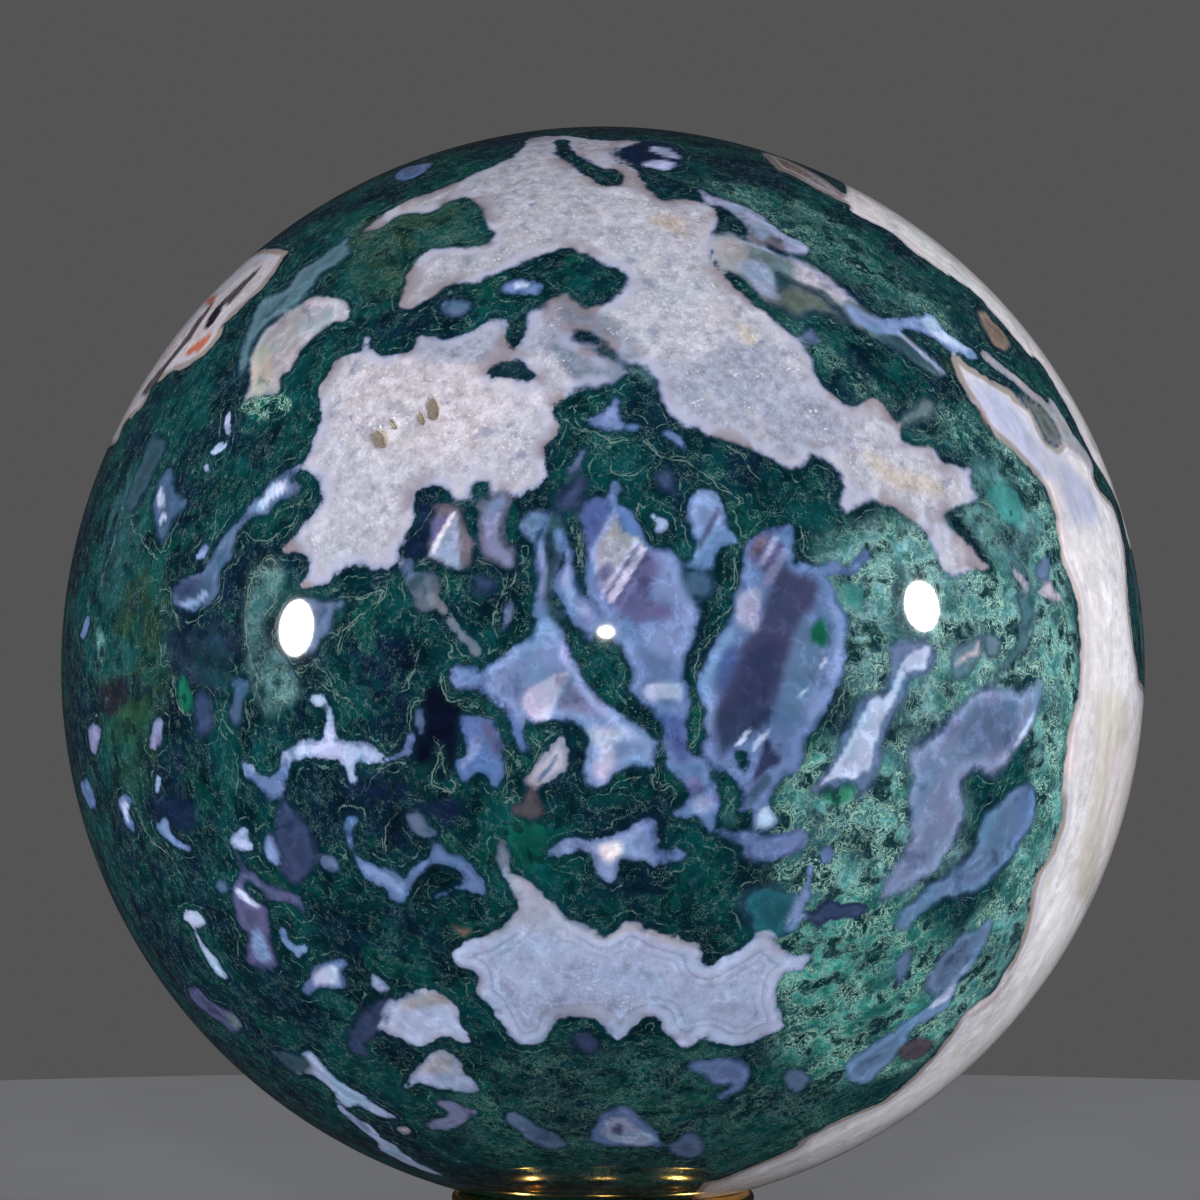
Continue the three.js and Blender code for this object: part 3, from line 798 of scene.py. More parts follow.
# The upper right, from the top to the white vein.
UPPER_RIGHT = (
    Patch("ridge_band", W, Tone.HAZY_BLUE, """700,190 715,196 735,203 755,212 770,222 779,231 790,237
        802,242 808,248 806,255 783,252 770,246 755,246 748,242 745,228 738,218 722,208 705,202""", 0.5),
    Patch("ridge_tan", T, Tone.BROWN_MAUVE, """735,212 746,220 750,240 770,248 784,253 782,240 770,236
        760,240 752,228 744,216""", 0.6),
    Patch("glass_sheet", W, Tone.GREY, """712,236 730,232 745,240 775,252 795,258 812,266 830,278 845,291
        860,304 880,318 905,335 925,352 945,373 930,372 912,360 890,345 870,335 855,325 842,308 820,292
        800,285 785,275 775,270 780,285 785,300 783,306 770,303 760,298 750,285 738,275 726,272 716,262""",
          0.7, grain=0.15),
    Patch("sheet_cream", T, Tone.MILK, "714,240 735,238 748,250 745,268 738,274 724,270 714,260",
          1.0, grain=0.4),
    Patch("sheet_cloud", T, Tone.HAZY_BLUE, """738,264 758,261 768,268 778,285 783,301 770,298 758,290
        750,280""", 0.7),
    Patch("navy_agate", W, Tone.NAVY_DEPTH, """625,142 665,143 678,150 682,160 676,168 660,163 648,168
        635,165 613,158""", 0.3),
    Patch("agate_ice", T, Tone.CLOUD, "648,150 658,146 670,150 680,157 672,158 660,154", 0.2),
    Patch("agate_cloud", W, Tone.CLOUD, "645,166 655,162 668,162 674,167 665,170", 0.3),
    Patch("sheet_slate", T, Tone.TEAL, "880,326 910,342 935,362 944,373 930,370 905,354 880,340", 0.8),
    Patch("olive_stain", W, Tone.OLIVE_STAIN, """780,290 792,284 806,290 825,300 842,318 832,316 812,310
        800,318 790,312 783,306""", 2.4, grain=0.2),
    Patch("sheet_white", T, Tone.MILK_LILAC, """795,262 815,270 835,283 846,297 838,305 822,296 806,285
        795,276""", 0.9),
    Patch("sheet_blue", T, Tone.STAR, "846,304 862,312 886,326 880,334 862,326 850,318", 0.8),
    Patch("sheet_line", T, Tone.HAZY_BLUE, """745,241 795,258 845,291 890,324 946,372 943,374 888,327
        843,294 794,261 744,244""", 0.2),
    Patch("blue_ridge", W, Tone.STAR, """883,320 900,318 920,316 930,314 937,320 950,335 962,344 972,350
        977,357 973,360 962,355 950,350 938,342 925,334 912,330 900,332 885,330""", 0.4),
    Patch("ridge_ice", T, Tone.ICE, "922,318 934,318 946,332 968,346 962,350 944,342 930,332", 0.5),
    Patch("small_blue_three", W, Tone.SLATE, "800,334 812,329 816,336 824,342 812,343 803,340", 0.5),
    Patch("tan_cluster", W, Tone.OCHRE, """977,312 985,311 993,321 1003,332 1010,344 1008,351 999,349
        990,340 982,326""", 0.6),
    Patch("milk_veil", W, Tone.GREY, "898,425 910,409 926,398 936,402 932,416 914,424", 1.2),
    Patch("yellow_bit", G, Tone.OLIVE, "940,362 952,358 958,370 948,376", 0.6),
    Patch("limb_ochre", W, Tone.OCHRE, """762,153 778,156 800,166 822,178 846,196 850,205 838,200 812,186
        790,174 776,168""", 0.9, grain=1, streaks=0.8),
)

# The white vein that runs down the right side, and the thin one outside it.
VEIN = (
    Patch("vein", W, Tone.VEIN, """952,362 955,357 962,360 970,368 980,373 992,381 1002,387 1010,390
        1016,399 1026,406 1033,414 1040,430 1046,441 1056,447 1064,440 1072,446 1082,452 1092,466 1094,480
        1100,490 1106,497 1112,505 1118,520 1122,535 1125,555 1128,600 1133,640 1137,665 1140,683 1158,694
        1155,742 1157,800 1146,850 1126,903 1104,955 1083,1005 1046,1048 1003,1083 953,1116 886,1156
        820,1190 757,1222 700,1235 690,1212 700,1187 725,1178 755,1165 795,1148 805,1138 850,1115 885,1100
        930,1060 960,1020 975,1005 990,995 1010,965 1020,945 1030,905 1032,890 1040,870 1050,855 1055,840
        1062,820 1063,780 1068,730 1077,700 1080,640 1077,600 1070,580 1062,560 1058,540 1055,520 1050,500
        1045,488 1036,476 1024,462 1012,450 1000,440 990,430 984,420 978,408 968,395 960,383 955,370""",
          0.4, grain=0.5, streaks=1),
    Patch("vein_branch", W, Tone.MILK, """983,350 1000,363 1020,379 1045,401 1048,397 1053,401 1062,416
        1076,437 1090,458 1092,470 1078,452 1062,440 1056,426 1046,411 1034,401 1018,386 998,370 982,356""",
          0.3, grain=0.4),
    Patch("branch_hole", W, Tone.OLIVE_STAIN, """1016,394 1034,403 1046,413 1056,428 1060,438 1055,445
        1046,438 1040,428 1032,412""", 0.9, grain=0.2),
    Patch("thin_vein", W, Tone.VEIN_LOW, """848,205 860,217 890,232 920,256 950,276 975,293 995,315 1015,338
        1030,355 1040,362 1056,388 1070,412 1082,437 1094,460 1106,480 1114,495 1120,510 1126,535 1133,560
        1139,600 1149,640 1157,668 1164,600 1140,505 1128,455 1098,395 1062,345 1034,295 985,250 948,205
        897,172 862,163 846,175""", 0.3, grain=0.2, streaks=0.3),
    Patch("limb_sliver", I, Tone.STEEL_DIM, """1130,556 1136,600 1141,640 1143,683 1149,692 1151,672
        1157,652 1153,628 1161,604 1152,582 1147,556 1138,546"""),
    Patch("vein_top_grey", T, Tone.MAP_PALE, """965,385 1000,390 1040,440 1085,480 1100,520 1060,520
        1020,455 985,420""", 2.5, streaks=1),
    Patch("vein_ochre", T, Tone.OCHRE, "974,402 984,412 992,428 1000,440 990,436 980,422 972,410", 0.8),
    Patch("vein_tan", T, Tone.VEIN_ROSE, """1040,480 1052,500 1060,550 1070,590 1078,640 1076,700 1066,740
        1060,790 1072,790 1080,740 1090,690 1090,640 1082,590 1072,550 1062,500 1052,480""",
          0.9, streaks=0.6),
    Patch("vein_pink", T, Tone.PINK, "1002,972 985,995 962,1015 972,1018 996,1000 1012,978", 0.9),
    Patch("vein_cream", T, Tone.CREAM, "1100,700 1125,700 1128,780 1105,880 1080,930 1075,880 1092,790",
          2.2, streaks=1),
    # The lower vein is white, and is toned lighter still as painted light, making up for lamp light that
    # falls off low on the stone.
    Patch("vein_low_painted_light", T, Tone.VEIN_LOW, """1060,900 1090,930 1040,1010 960,1080 840,1140 740,1180
        800,1150 920,1085 1000,1010""", 2.0, streaks=1),
    Patch("vein_olive_edge", T, Tone.VEIN_ROSE, "1105,800 1125,740 1138,760 1120,860 1095,930 1085,930",
          1.6, streaks=1),
)

# The right side between the big window and the vein.
RIGHT = (
    Patch("streak_margin", W, Tone.SLATE, """905,640 890,650 885,690 865,695 850,720 820,780 815,790 850,785
        860,800 868,790 878,770 885,740 895,715 905,700 912,680 930,672 935,655 925,640""", 1.2),
    Patch("ice_streak", T, Tone.ICE, """822,783 842,755 866,708 876,697 890,693 900,668 908,655 920,650
        930,644 931,650 926,660 925,668 912,670 903,678 898,692 890,708 882,720 878,735 872,750 870,768
        862,772 853,780 845,777 833,778""", 0.25),
    Patch("lavender_field", W, Tone.FIELD, """970,695 985,688 1000,688 1020,692 1040,680 1042,700 1035,720
        1015,750 1003,768 990,775 975,768 960,785 965,820 942,860 935,870 905,890 890,895 880,898 885,880
        905,850 912,835 912,815 908,800 912,778 908,760 912,748 925,742""", 1.6),
    Patch("field_navy", T, Tone.SLATE, "985,700 1020,705 1010,740 985,756 960,750 962,720", 1.8),
    Patch("field_blue", T, Tone.FIELD, "925,800 955,790 960,830 930,870 900,888 905,858", 1.6),
    Patch("field_line", T, Tone.ICE, "1002,766 1033,713 1036,716 1006,769", 0.15, angular=True),
    Patch("right_window", W, Tone.STEEL, """1028,784 1036,795 1034,818 1022,842 990,882 965,893 940,900
        920,915 905,930 895,925 900,910 915,900 930,885 955,868 975,850 980,830 990,812 1015,788""", 1.1),
    Patch("right_blue", T, Tone.BLUE, "1030,786 1036,800 1030,828 1012,852 1014,826 1018,800", 0.8),
    Patch("low_streak", W, Tone.STREAK_BLUE, """990,918 988,938 978,955 952,995 945,1010 912,1030 905,1045
        895,1060 880,1070 870,1082 855,1082 845,1075 850,1060 865,1050 895,1030 905,1020 925,1010 940,990
        955,965""", 0.35),
    Patch("low_streak_core", T, Tone.ICE, "928,1008 938,998 960,970 970,955 965,970 955,985 945,1002", 0.2),
    Patch("low_slate", W, Tone.SLATE, "925,985 945,950 975,928 985,932 965,965 940,995", 1.8),
    Patch("low_slate_two", W, Tone.SLATE, "895,980 898,958 910,950 908,970 900,985", 1.6),
    Patch("navy_slot", W, Tone.NAVY, """798,915 812,912 825,903 845,902 860,902 865,908 860,915 840,918
        825,922 818,925""", 0.35),
    Patch("teal_patch", W, Tone.TEAL_DEEP, "745,895 775,888 800,900 795,930 770,938 750,925", 2.0),
    Patch("strand_ice", W, Tone.STAR, "790,925 800,900 808,870 812,866 812,885 804,910 796,928", 0.4),
    Patch("under_web", W, Tone.BLUE, """712,830 740,830 770,835 790,835 805,838 800,850 790,858 775,855
        760,860 740,845""", 0.5),
    Patch("under_web_bit", W, Tone.BLUE, "820,850 828,846 833,852 830,862 822,864", 0.4),
    Patch("slate_streak", W, Tone.STEEL_DIM, """1014,593 1022,590 1031,600 1033,615 1029,630 1027,645
        1020,654 1006,668 1000,664 1012,650 1020,634 1021,618 1016,604""", 0.6),
    Patch("white_bit", W, Tone.ICE, "988,643 993,645 992,652 988,651", 0.2),
    Patch("glass_lens", W, Tone.GLASS, """950,661 955,648 965,642 983,637 982,650 977,662 970,673 957,680
        951,671""", 0.8),
    Patch("glass_lens_line", T, Tone.MILK_LILAC, """957,663 963,656 974,650 978,642 980,651 976,655 965,659
        959,665""", 0.3),
    Patch("small_glass", W, Tone.GLASS, "986,641 992,633 998,637 1001,646 997,655 990,657 986,650", 0.6),
    Patch("milk_rim", W, Tone.MILK_LILAC, """1036,591 1043,586 1045,578 1051,580 1054,588 1059,594 1058,602
        1049,598""", 0.4),
    Patch("milk_rim_two", W, Tone.MILK_LILAC, "1012,567 1019,572 1030,586 1026,590 1018,583", 0.4),
    Patch("slate_rim", W, Tone.SLATE, "1035,575 1040,560 1047,558 1050,570 1045,580", 0.5),
    Patch("right_glass", G, Tone.KNOT, "985,490 1000,482 1020,492 1022,520 1010,528 996,512",
          1.2, fibre=0.05),
    Patch("tail_wedge", G, Tone.SHADE, "944,509 956,513 968,528 980,545 995,570 985,575 972,562 955,535",
          0.6, fibre=0.1),
    Patch("tail_shade", T, Tone.HAZY_LILAC, """926,520 945,520 962,540 975,556 984,566 966,572 950,576
        940,560 932,540""", 1.2, grain=0.5),
    Patch("tail_stain", T, Tone.STAIN, "952,548 962,547 964,556 954,560", 0.8, grain=0.7),
    Patch("low_brown", W, Tone.BROWN, "898,1052 906,1044 922,1038 934,1042 928,1052 912,1060 900,1060",
          1.0),
)

# The lower left.
LOWER_LEFT = (
    Patch("limb_lavender", W, Tone.LAVENDER, "88,728 93,725 100,727 99,740 97,752 91,750", 0.3),
    Patch("lavender_bead", W, Tone.LAVENDER, "155,722 162,718 163,730 161,742 155,750 150,745", 0.3),
    Patch("cloud_bead", W, Tone.CLOUD, "157,776 161,777 161,788 158,795 155,790", 0.3),
    Patch("limb_blue", W, Tone.BLUE, "80,785 87,780 92,790 96,805 92,810 85,798", 0.4),
    Patch("blue_wisp", W, Tone.BLUE, "118,800 125,797 133,800 130,812 135,832 128,830 122,815", 0.4),
    Patch("blue_wisp_ice", T, Tone.ICE, "122,802 128,802 128,814 126,820", 0.25),
    Patch("star_wisp", W, Tone.STAR, """157,824 163,819 169,822 170,832 178,840 190,847 191,851 180,847
        160,832""", 0.3),
    Patch("dark_area", G, Tone.NAVY_DEPTH, "150,800 175,792 195,806 196,832 172,830 155,818",
          2.0, fibre=0.05),
    Patch("cloud_blob", W, Tone.CLOUD, "231,838 238,830 248,828 249,838 254,845 248,852 233,848", 0.3),
    Patch("star_blob", W, Tone.STAR, "263,836 268,833 273,840 281,860 277,866 268,858 263,848", 0.3),
    Patch("navy_leaf", W, Tone.NAVY, """285,800 310,830 316,860 300,884 288,882 280,870 283,858 278,845
        275,830 280,815""", 0.6),
    Patch("mauve_web", W, Tone.MAUVE, """236,852 240,870 232,895 240,925 248,935 247,963 258,966 270,970
        277,965 275,955 268,925 268,910 262,900 285,900 306,915 300,900 290,893 275,888 248,870""", 0.35),
    Patch("mauve_web_moss", I, Tone.MOSS, "245,882 258,886 265,895 270,905 262,905 247,893"),
    Patch("mauve_web_ice", T, Tone.ICE, "236,888 245,893 255,903 260,905 252,906 240,897", 0.3),
    Patch("mauve_web_core", T, Tone.STAR, "257,925 268,950 270,960 258,960 253,950 253,935", 0.4),
    Patch("ice_comma", W, Tone.ICE, """184,913 190,911 200,914 207,922 200,925 195,930 208,950 217,960
        228,978 222,978 212,968 198,940 190,925 184,920""", 0.3),
    Patch("limb_mauve", W, Tone.MAUVE, """190,988 197,987 210,1000 238,1018 240,1030 232,1033 220,1022
        192,1000""", 0.4),
    Patch("limb_mauve_grey", T, Tone.GREY, "226,1012 238,1018 240,1030 230,1024", 0.4),
    Patch("star_comma", W, Tone.STAR, """279,930 285,928 287,938 295,947 303,945 306,950 300,956 291,952
        283,943""", 0.3),
    Patch("low_blue", W, Tone.BLUE, """302,990 308,980 322,962 345,962 342,975 344,985 338,988 325,987
        306,994""", 0.3),
    Patch("low_blue_core", T, Tone.ICE, "312,984 320,970 334,965 339,974 337,984 324,984", 0.4),
    Patch("cloud_chip", W, Tone.CLOUD, "370,975 375,974 386,985 387,991 380,992 372,985", 0.3),
    Patch("slate_chip", W, Tone.SLATE, "322,858 330,855 340,862 336,870 326,868", 0.4),
    Patch("slate_chip_left", W, Tone.SLATE, "216,882 224,880 228,890 220,893", 0.4),
    Patch("ribbon", W, Tone.BLUE, """345,818 352,815 358,820 352,830 360,858 370,862 398,875 405,878 414,868
        425,860 432,850 430,840 440,842 450,852 462,858 480,880 484,893 475,892 460,890 437,895 450,888
        465,882 462,872 450,868 438,862 428,866 410,885 400,903 385,888 370,880 360,870 347,840 343,828""",
          0.3),
    Patch("ribbon_core", T, Tone.STAR, "362,864 385,873 404,882 402,896 388,884 366,874", 0.25),
    Patch("dim_chip", W, Tone.SLATE_DIM, "408,818 418,812 428,825 436,835 425,838 415,830", 0.4, grain=0.3),
    Patch("cloud_navy", W, Tone.NAVY, """395,1000 388,1015 383,1030 365,1045 368,1057 348,1048 350,1030
        365,1010 380,998""", 0.6),
    Patch("cloud_low_left", W, Tone.MAP, """383,1030 395,1003 420,991 449,997 458,1018 465,1032 473,1041
        465,1043 445,1037 420,1046 398,1038""", 0.3, grain=0.4),
    Patch("cloud_low_pink", T, Tone.MILK, "405,995 440,993 450,1004 425,1006 402,1010", 1.0, grain=0.4),
    Patch("cloud_bottom", W, Tone.CLOUD, """405,1088 418,1066 428,1056 440,1051 448,1052 460,1062 465,1073
        480,1090 465,1092 430,1086 418,1083""", 0.3, grain=0.4),
    Patch("cloud_bottom_pink", T, Tone.MILK_LILAC, "420,1068 438,1054 452,1058 450,1070 432,1074",
          0.9, grain=0.4),
    Patch("long_streak", W, Tone.CLOUD, """272,1053 285,1052 300,1055 310,1051 318,1058 338,1079 362,1094
        372,1102 395,1117 385,1118 372,1112 360,1105 350,1108 340,1102 332,1090 310,1074 295,1073""", 0.35),
    Patch("long_streak_slate", T, Tone.TEAL, "270,1050 300,1052 312,1070 295,1076 280,1068", 0.8),
    Patch("long_streak_two", W, Tone.CLOUD, """335,1098 345,1110 370,1125 382,1138 395,1145 410,1158
        443,1175 430,1173 395,1158 380,1150 376,1140 362,1130 340,1110""", 0.35),
    Patch("milk_chip", W, Tone.MILK, "397,1130 402,1126 410,1130 405,1136", 0.3),
    Patch("lavender_hook", W, Tone.LAVENDER, """436,1102 452,1102 465,1108 477,1112 468,1118 458,1128
        445,1130 430,1128 428,1122 450,1115""", 0.4),
    Patch("slate_sliver", W, Tone.SLATE, "508,1118 515,1113 545,1130 568,1145 540,1147 515,1127", 0.4),
    Patch("agate_eye", W, Tone.BLUE, """590,1140 595,1125 605,1112 618,1107 635,1112 658,1135 662,1145
        650,1147 605,1145""", 0.3),
    Patch("eye_ring", T, Tone.CLOUD, """603,1130 610,1120 625,1118 635,1127 652,1135 655,1141 640,1145
        620,1142 606,1138""", 0.4, bands=0.6),
    Patch("eye_core", T, Tone.MAUVE, "614,1126 622,1125 624,1134 615,1135", 0.3),
    Patch("slate_low", W, Tone.SLATE, "668,1150 675,1140 690,1132 700,1137 703,1148 698,1156 680,1158",
          0.4),
    Patch("blue_hook", W, Tone.BLUE, """688,1068 695,1061 730,1058 745,1062 750,1072 745,1085 725,1100
        715,1095 730,1085 712,1085 700,1075""", 0.5),
    Patch("navy_low", W, Tone.NAVY, "572,1045 578,1035 590,1035 596,1045 590,1052 580,1050", 0.5),
    Patch("slate_low_right", W, Tone.SLATE, "785,1075 795,1068 808,1075 805,1090 792,1092", 0.5),
    Patch("yellow_dot", G, Tone.OCHRE, "452,925 460,928 471,930 465,936 458,933", 0.25, fibre=0),
)

# The cloud-blue body at the bottom, shaped like a map, and the small one above it.
MAP = (
    Patch("map", W, Tone.MAP, """453,958 455,950 470,942 490,935 515,915 518,905 512,892 510,882 506,872
        535,883 560,912 590,928 603,935 615,930 625,922 640,925 655,932 685,942 697,943 700,950 700,960
        707,966 715,964 750,942 762,935 770,936 785,952 797,955 805,952 810,956 805,965 785,975 778,985
        776,1000 782,1025 760,1037 750,1043 735,1045 720,1043 710,1037 700,1038 693,1044 680,1045 664,1030
        660,1020 650,1017 640,1020 633,1028 617,1041 611,1036 595,1017 565,1018 555,1022 545,1040 515,1042
        497,1013 487,1002 475,993 478,982 475,972 462,968""", 0.3, grain=0.55, bands=1),
    Patch("map_top_halo", T, Tone.MILK_LILAC, """505,868 520,872 548,890 572,914 604,930 640,920 700,940
        712,960 700,952 660,940 630,932 604,942 570,926 540,900 518,890 516,915 490,940 488,930 508,912""",
          0.8, grain=0.2),
    Patch("map_milk", T, Tone.MAP_PALE, "510,880 535,890 560,915 590,935 560,935 525,930 515,910",
          1.2, grain=0.6),
    Patch("map_low", T, Tone.MAP_LOW, "540,960 640,955 650,1005 600,1010 560,1012 535,1000",
          3.5, grain=0.8, bands=0.6),
    Patch("small_map", W, Tone.STAR, """550,852 560,845 575,841 590,842 630,828 640,820 650,817 657,822
        655,835 658,848 662,857 655,866 645,862 630,860 620,862 618,872 612,882 603,880 596,870 585,850
        560,856""", 0.35, grain=0.2),
    Patch("small_map_blue", T, Tone.BLUE, "648,816 658,820 658,846 664,858 654,864 645,850 642,830", 0.7),
    Patch("small_map_white", T, Tone.VEIN, "600,846 618,842 622,852 610,862 602,856", 0.8),
    Patch("small_map_tail", W, Tone.BLUE, "655,850 668,852 680,850 686,856 678,862 662,864", 0.35),
)

# The front, in the order that it is laid. The veins and the threads go over it.
PATTERN = (
    *GROUND, *UPPER_LEFT, *MIDDLE_LEFT, *MIDDLE, *BIG_WINDOW,
    *UPPER_RIGHT, *RIGHT, *LOWER_LEFT, *MAP, *QUARTZ,
)


@dataclass(frozen=True)
class HiddenSide:
    """Patches of the front that a side out of view repeats, turned and pulled out of shape.

    A point p is turned about z, mirrored in y, turned about y and moved by a slow wave of its
    own place, wander sin(5 p shifted round its axes), and set against the front's outlines there.
    """

    patches: tuple[Patch, ...]
    about_z: float
    about_y: float
    wander_mm: float = 4.0
    waves: float = 5.0
    phases: tuple[float, float, float] = (0.4, 1.7, 2.9)

    def seen_from_front(self, directions: np.ndarray, radius_mm: float) -> np.ndarray:
        """Where each point of the stone lies among the front's outlines.

        Args:
            directions: rows of unit directions.
            radius_mm: the stone's radius in millimetres.

        Returns:
            Rows of unit directions.
        """
        x, y, z = directions.T
        cos, sin = math.cos(self.about_z), math.sin(self.about_z)
        x, y = cos * x - sin * y, sin * x + cos * y
        cos, sin = math.cos(self.about_y), math.sin(self.about_y)
        mirrored = np.stack([cos * x - sin * z, -y, sin * x + cos * z], axis=1)
        wave = np.sin(self.waves * np.roll(mirrored, 1, axis=1) + self.phases)
        return unit(mirrored + self.wander_mm / radius_mm * wave)


# The sides out of view, which go under the front. The second goes over the first.
HIDDEN_SIDES = (
    HiddenSide((*MIDDLE, *MIDDLE_LEFT, *LOWER_LEFT), -1.25, 1.4),
    HiddenSide(PATTERN, 0.0, 2.3),
)


@dataclass
class Chart:
    """The mesh's points laid flat about one point of the stone, to set outlines against."""

    at: np.ndarray
    reach: np.ndarray
    furthest: float = 2.3  # radians from its middle that it is used for

    @classmethod
    def about(cls, directions: np.ndarray, radius_mm: float) -> "Chart":
        """The chart of these directions, with their angles from its middle."""
        return cls(chart(directions, radius_mm), from_front(directions))

    def near(self, line: np.ndarray, margin: float) -> np.ndarray:
        """The points close to a line, and not so far round that the chart is stretched.

        Args:
            line: rows of x, y.
            margin: how far past the line's own box they may lie.

        Returns:
            The points' numbers.
        """
        close = ((self.at > line.min(0) - margin) & (self.at < line.max(0) + margin)).all(1)
        return np.flatnonzero(close & (self.reach < self.furthest))


@dataclass
class Pattern:
    """The stone's pattern as fields on the mesh's points, in millimetres and linear colour."""

    directions: np.ndarray
    view: View
    deep: float = 3.0  # the furthest from an edge that the material reads
    halo: float = 0.35  # how far past its edge a window's tone goes
    least_blur: float = 0.05
    softness_reach: float = 1.2
    spill: float = 0.5  # how far past its outline a patch still shows
    front_limit: float = -0.08  # the y of a direction where the view from the front ends
    fields: dict[str, np.ndarray] = field(default_factory=dict)

    def __post_init__(self) -> None:
        """Starts with moss everywhere."""
        count = len(self.directions)
        self.radius_mm = self.view.radius / MM
        starts = {
            "moss_edge": self.deep, "thread_side": self.deep, "thread_gap": self.deep, "softness": 0.3,
            "fibre": 0.25, "grain": 0.0, "bands": 0.0, "streaks": 0.0,
        }
        self.fields = {name: np.full(count, value) for name, value in starts.items()}
        self.fields["window_tone"] = np.tile(Tone.SLATE.light, (count, 1))
        self.fields["moss_tone"] = np.tile(Tone.MOSS.light, (count, 1))

    def blend(self, name: str, where: np.ndarray, weight: np.ndarray, value: float | Colour) -> None:
        """Moves a field towards a value at some of the points.

        Args:
            name: the field.
            where: the points' numbers.
            weight: how far each goes, 0 to 1.
            value: the number or colour that it goes to.
        """
        share = weight[:, None] if self.fields[name].ndim == 2 else weight
        self.fields[name][where] = self.fields[name][where] * (1 - share) + np.asarray(value) * share

    def apply(self, patch: Patch, where: np.ndarray, distance: np.ndarray) -> None:
        """Lays one patch on the points where its distance is known.

        Args:
            patch: the patch.
            where: the points' numbers.
            distance: their signed distances to its outline, in millimetres.
        """
        edge = self.fields["moss_edge"]
        if patch.role is Role.WINDOW:
            edge[where] = np.minimum(edge[where], distance)
        elif patch.role is Role.ISLAND:
            edge[where] = np.maximum(edge[where], -distance)
        halo = self.halo if patch.role is Role.WINDOW else 0.0
        weight = smooth(0.5 - (distance - halo) / max(patch.soft, self.least_blur))
        if patch.role in (Role.WINDOW, Role.TINT):
            self.blend("window_tone", where, weight, patch.tone.light)
            for name in ("grain", "bands", "streaks"):
                self.blend(name, where, weight, getattr(patch, name))
        else:
            self.blend("moss_tone", where, weight, patch.tone.light)
        if patch.role is Role.WINDOW:
            self.blend("softness", where, smooth(1.5 - distance / self.softness_reach), patch.soft)
        if patch.fibre is not None:
            self.blend("fibre", where, weight, patch.fibre)

    def lay(self, patch: Patch, sheet: Chart, hidden: bool = False) -> bool:
        """Draws a patch's outline on a chart and applies it to the points near it.

        Args:
            patch: the patch.
            sheet: the chart of the mesh's points.
            hidden: whether a patch that would show from the front is left out.

        Returns:
            Whether the patch was laid.
        """
        outline = chart(self.view.on_stone(points_of(patch.outline)), self.radius_mm)
        outline = outline if patch.angular else rounded(outline)
        where = sheet.near(outline, self.deep + patch.soft)
        if not len(where):
            return False
        distance = signed_distance(sheet.at[where], outline)
        covered = where[distance < patch.soft + self.spill]
        if hidden and self.directions[covered, 1].min(initial=1.0) < self.front_limit:
            return False
        self.apply(patch, where, distance)
        return True

    def lay_all(self, patches: Iterable[Patch], sheet: Chart, hidden: bool = False) -> int:
        """Lays patches in order, and gives how many were laid."""
        return sum(self.lay(patch, sheet, hidden) for patch in patches)

    def lay_threads(self, sheet: Chart, reach: float = 2.0) -> None:
        """Sets how far each point lies from the nearest thread, and on which side of it.

        Args:
            sheet: the chart of the mesh's points.
            reach: how far from a thread the points know of it.
        """
        gap, side = self.fields["thread_gap"], self.fields["thread_side"]
        for course in THREADS:
            line = open_curve(chart(self.view.on_stone(points_of(course)), self.radius_mm))
            where = sheet.near(line, reach)
            if len(where):
                signed = side_distance(sheet.at[where], line)
                closer = np.abs(signed) < gap[where]
                gap[where[closer]], side[where[closer]] = np.abs(signed)[closer], signed[closer]

    def lay_vein_behind(self) -> None:
        """Carries the white vein round the back as a slab through the stone.

        A point's depth along the slab's normal is s = n.p. The slab lies from low(z) to high(z)
        with a slow waver, and a second thin one lies just past it.
        """
        slab_normal = unit(np.array([0.487, 0.873, -0.012]))
        where = np.flatnonzero(self.directions[:, 1] > self.front_limit)
        spot = self.directions[where]
        height = spot[:, 2]
        waver = 0.02 * np.sin(9 * height + 1) + 0.012 * np.sin(23 * height + 5 * spot[:, 0])
        depth = spot @ slab_normal + waver
        low = -0.10 - 0.09 * np.clip(-height, 0, 1) ** 2
        high = 0.22 - 0.07 * height
        thin_low = high + 0.05 + 0.02 * np.sin(6 * height)
        front_end = -0.02 - spot[:, 1] + waver
        for start, end, tone in ((low, high, Tone.VEIN), (thin_low, thin_low + 0.07, Tone.PINK)):
            past = np.maximum.reduce([start - depth, depth - end, front_end]) * self.radius_mm
            self.apply(Patch("vein_behind", W, tone, "", 0.3, grain=0.4, streaks=1), where, past)
            margin = smooth(1 - np.abs(past + 1.0) / 1.6) * (past < 0.3)
            self.blend("window_tone", where, margin * 0.5, Tone.TAN.light)

    def draw(self) -> int:
        """Lays the hidden sides, the front, the veins and the threads, in this order.

        Returns:
            How many patches the hidden sides repeat.
        """
        copies = 0
        for side in HIDDEN_SIDES:
            among = Chart.about(side.seen_from_front(self.directions, self.radius_mm), self.radius_mm)
            copies += self.lay_all(side.patches, among, hidden=True)
        sheet = Chart.about(self.directions, self.radius_mm)
        self.lay_all(PATTERN, sheet)
        self.lay_vein_behind()
        self.lay_all(VEIN, sheet)
        self.lay_threads(sheet)
        edge = self.fields["moss_edge"]
        np.clip(edge, -self.deep, self.deep, out=edge)
        return copies


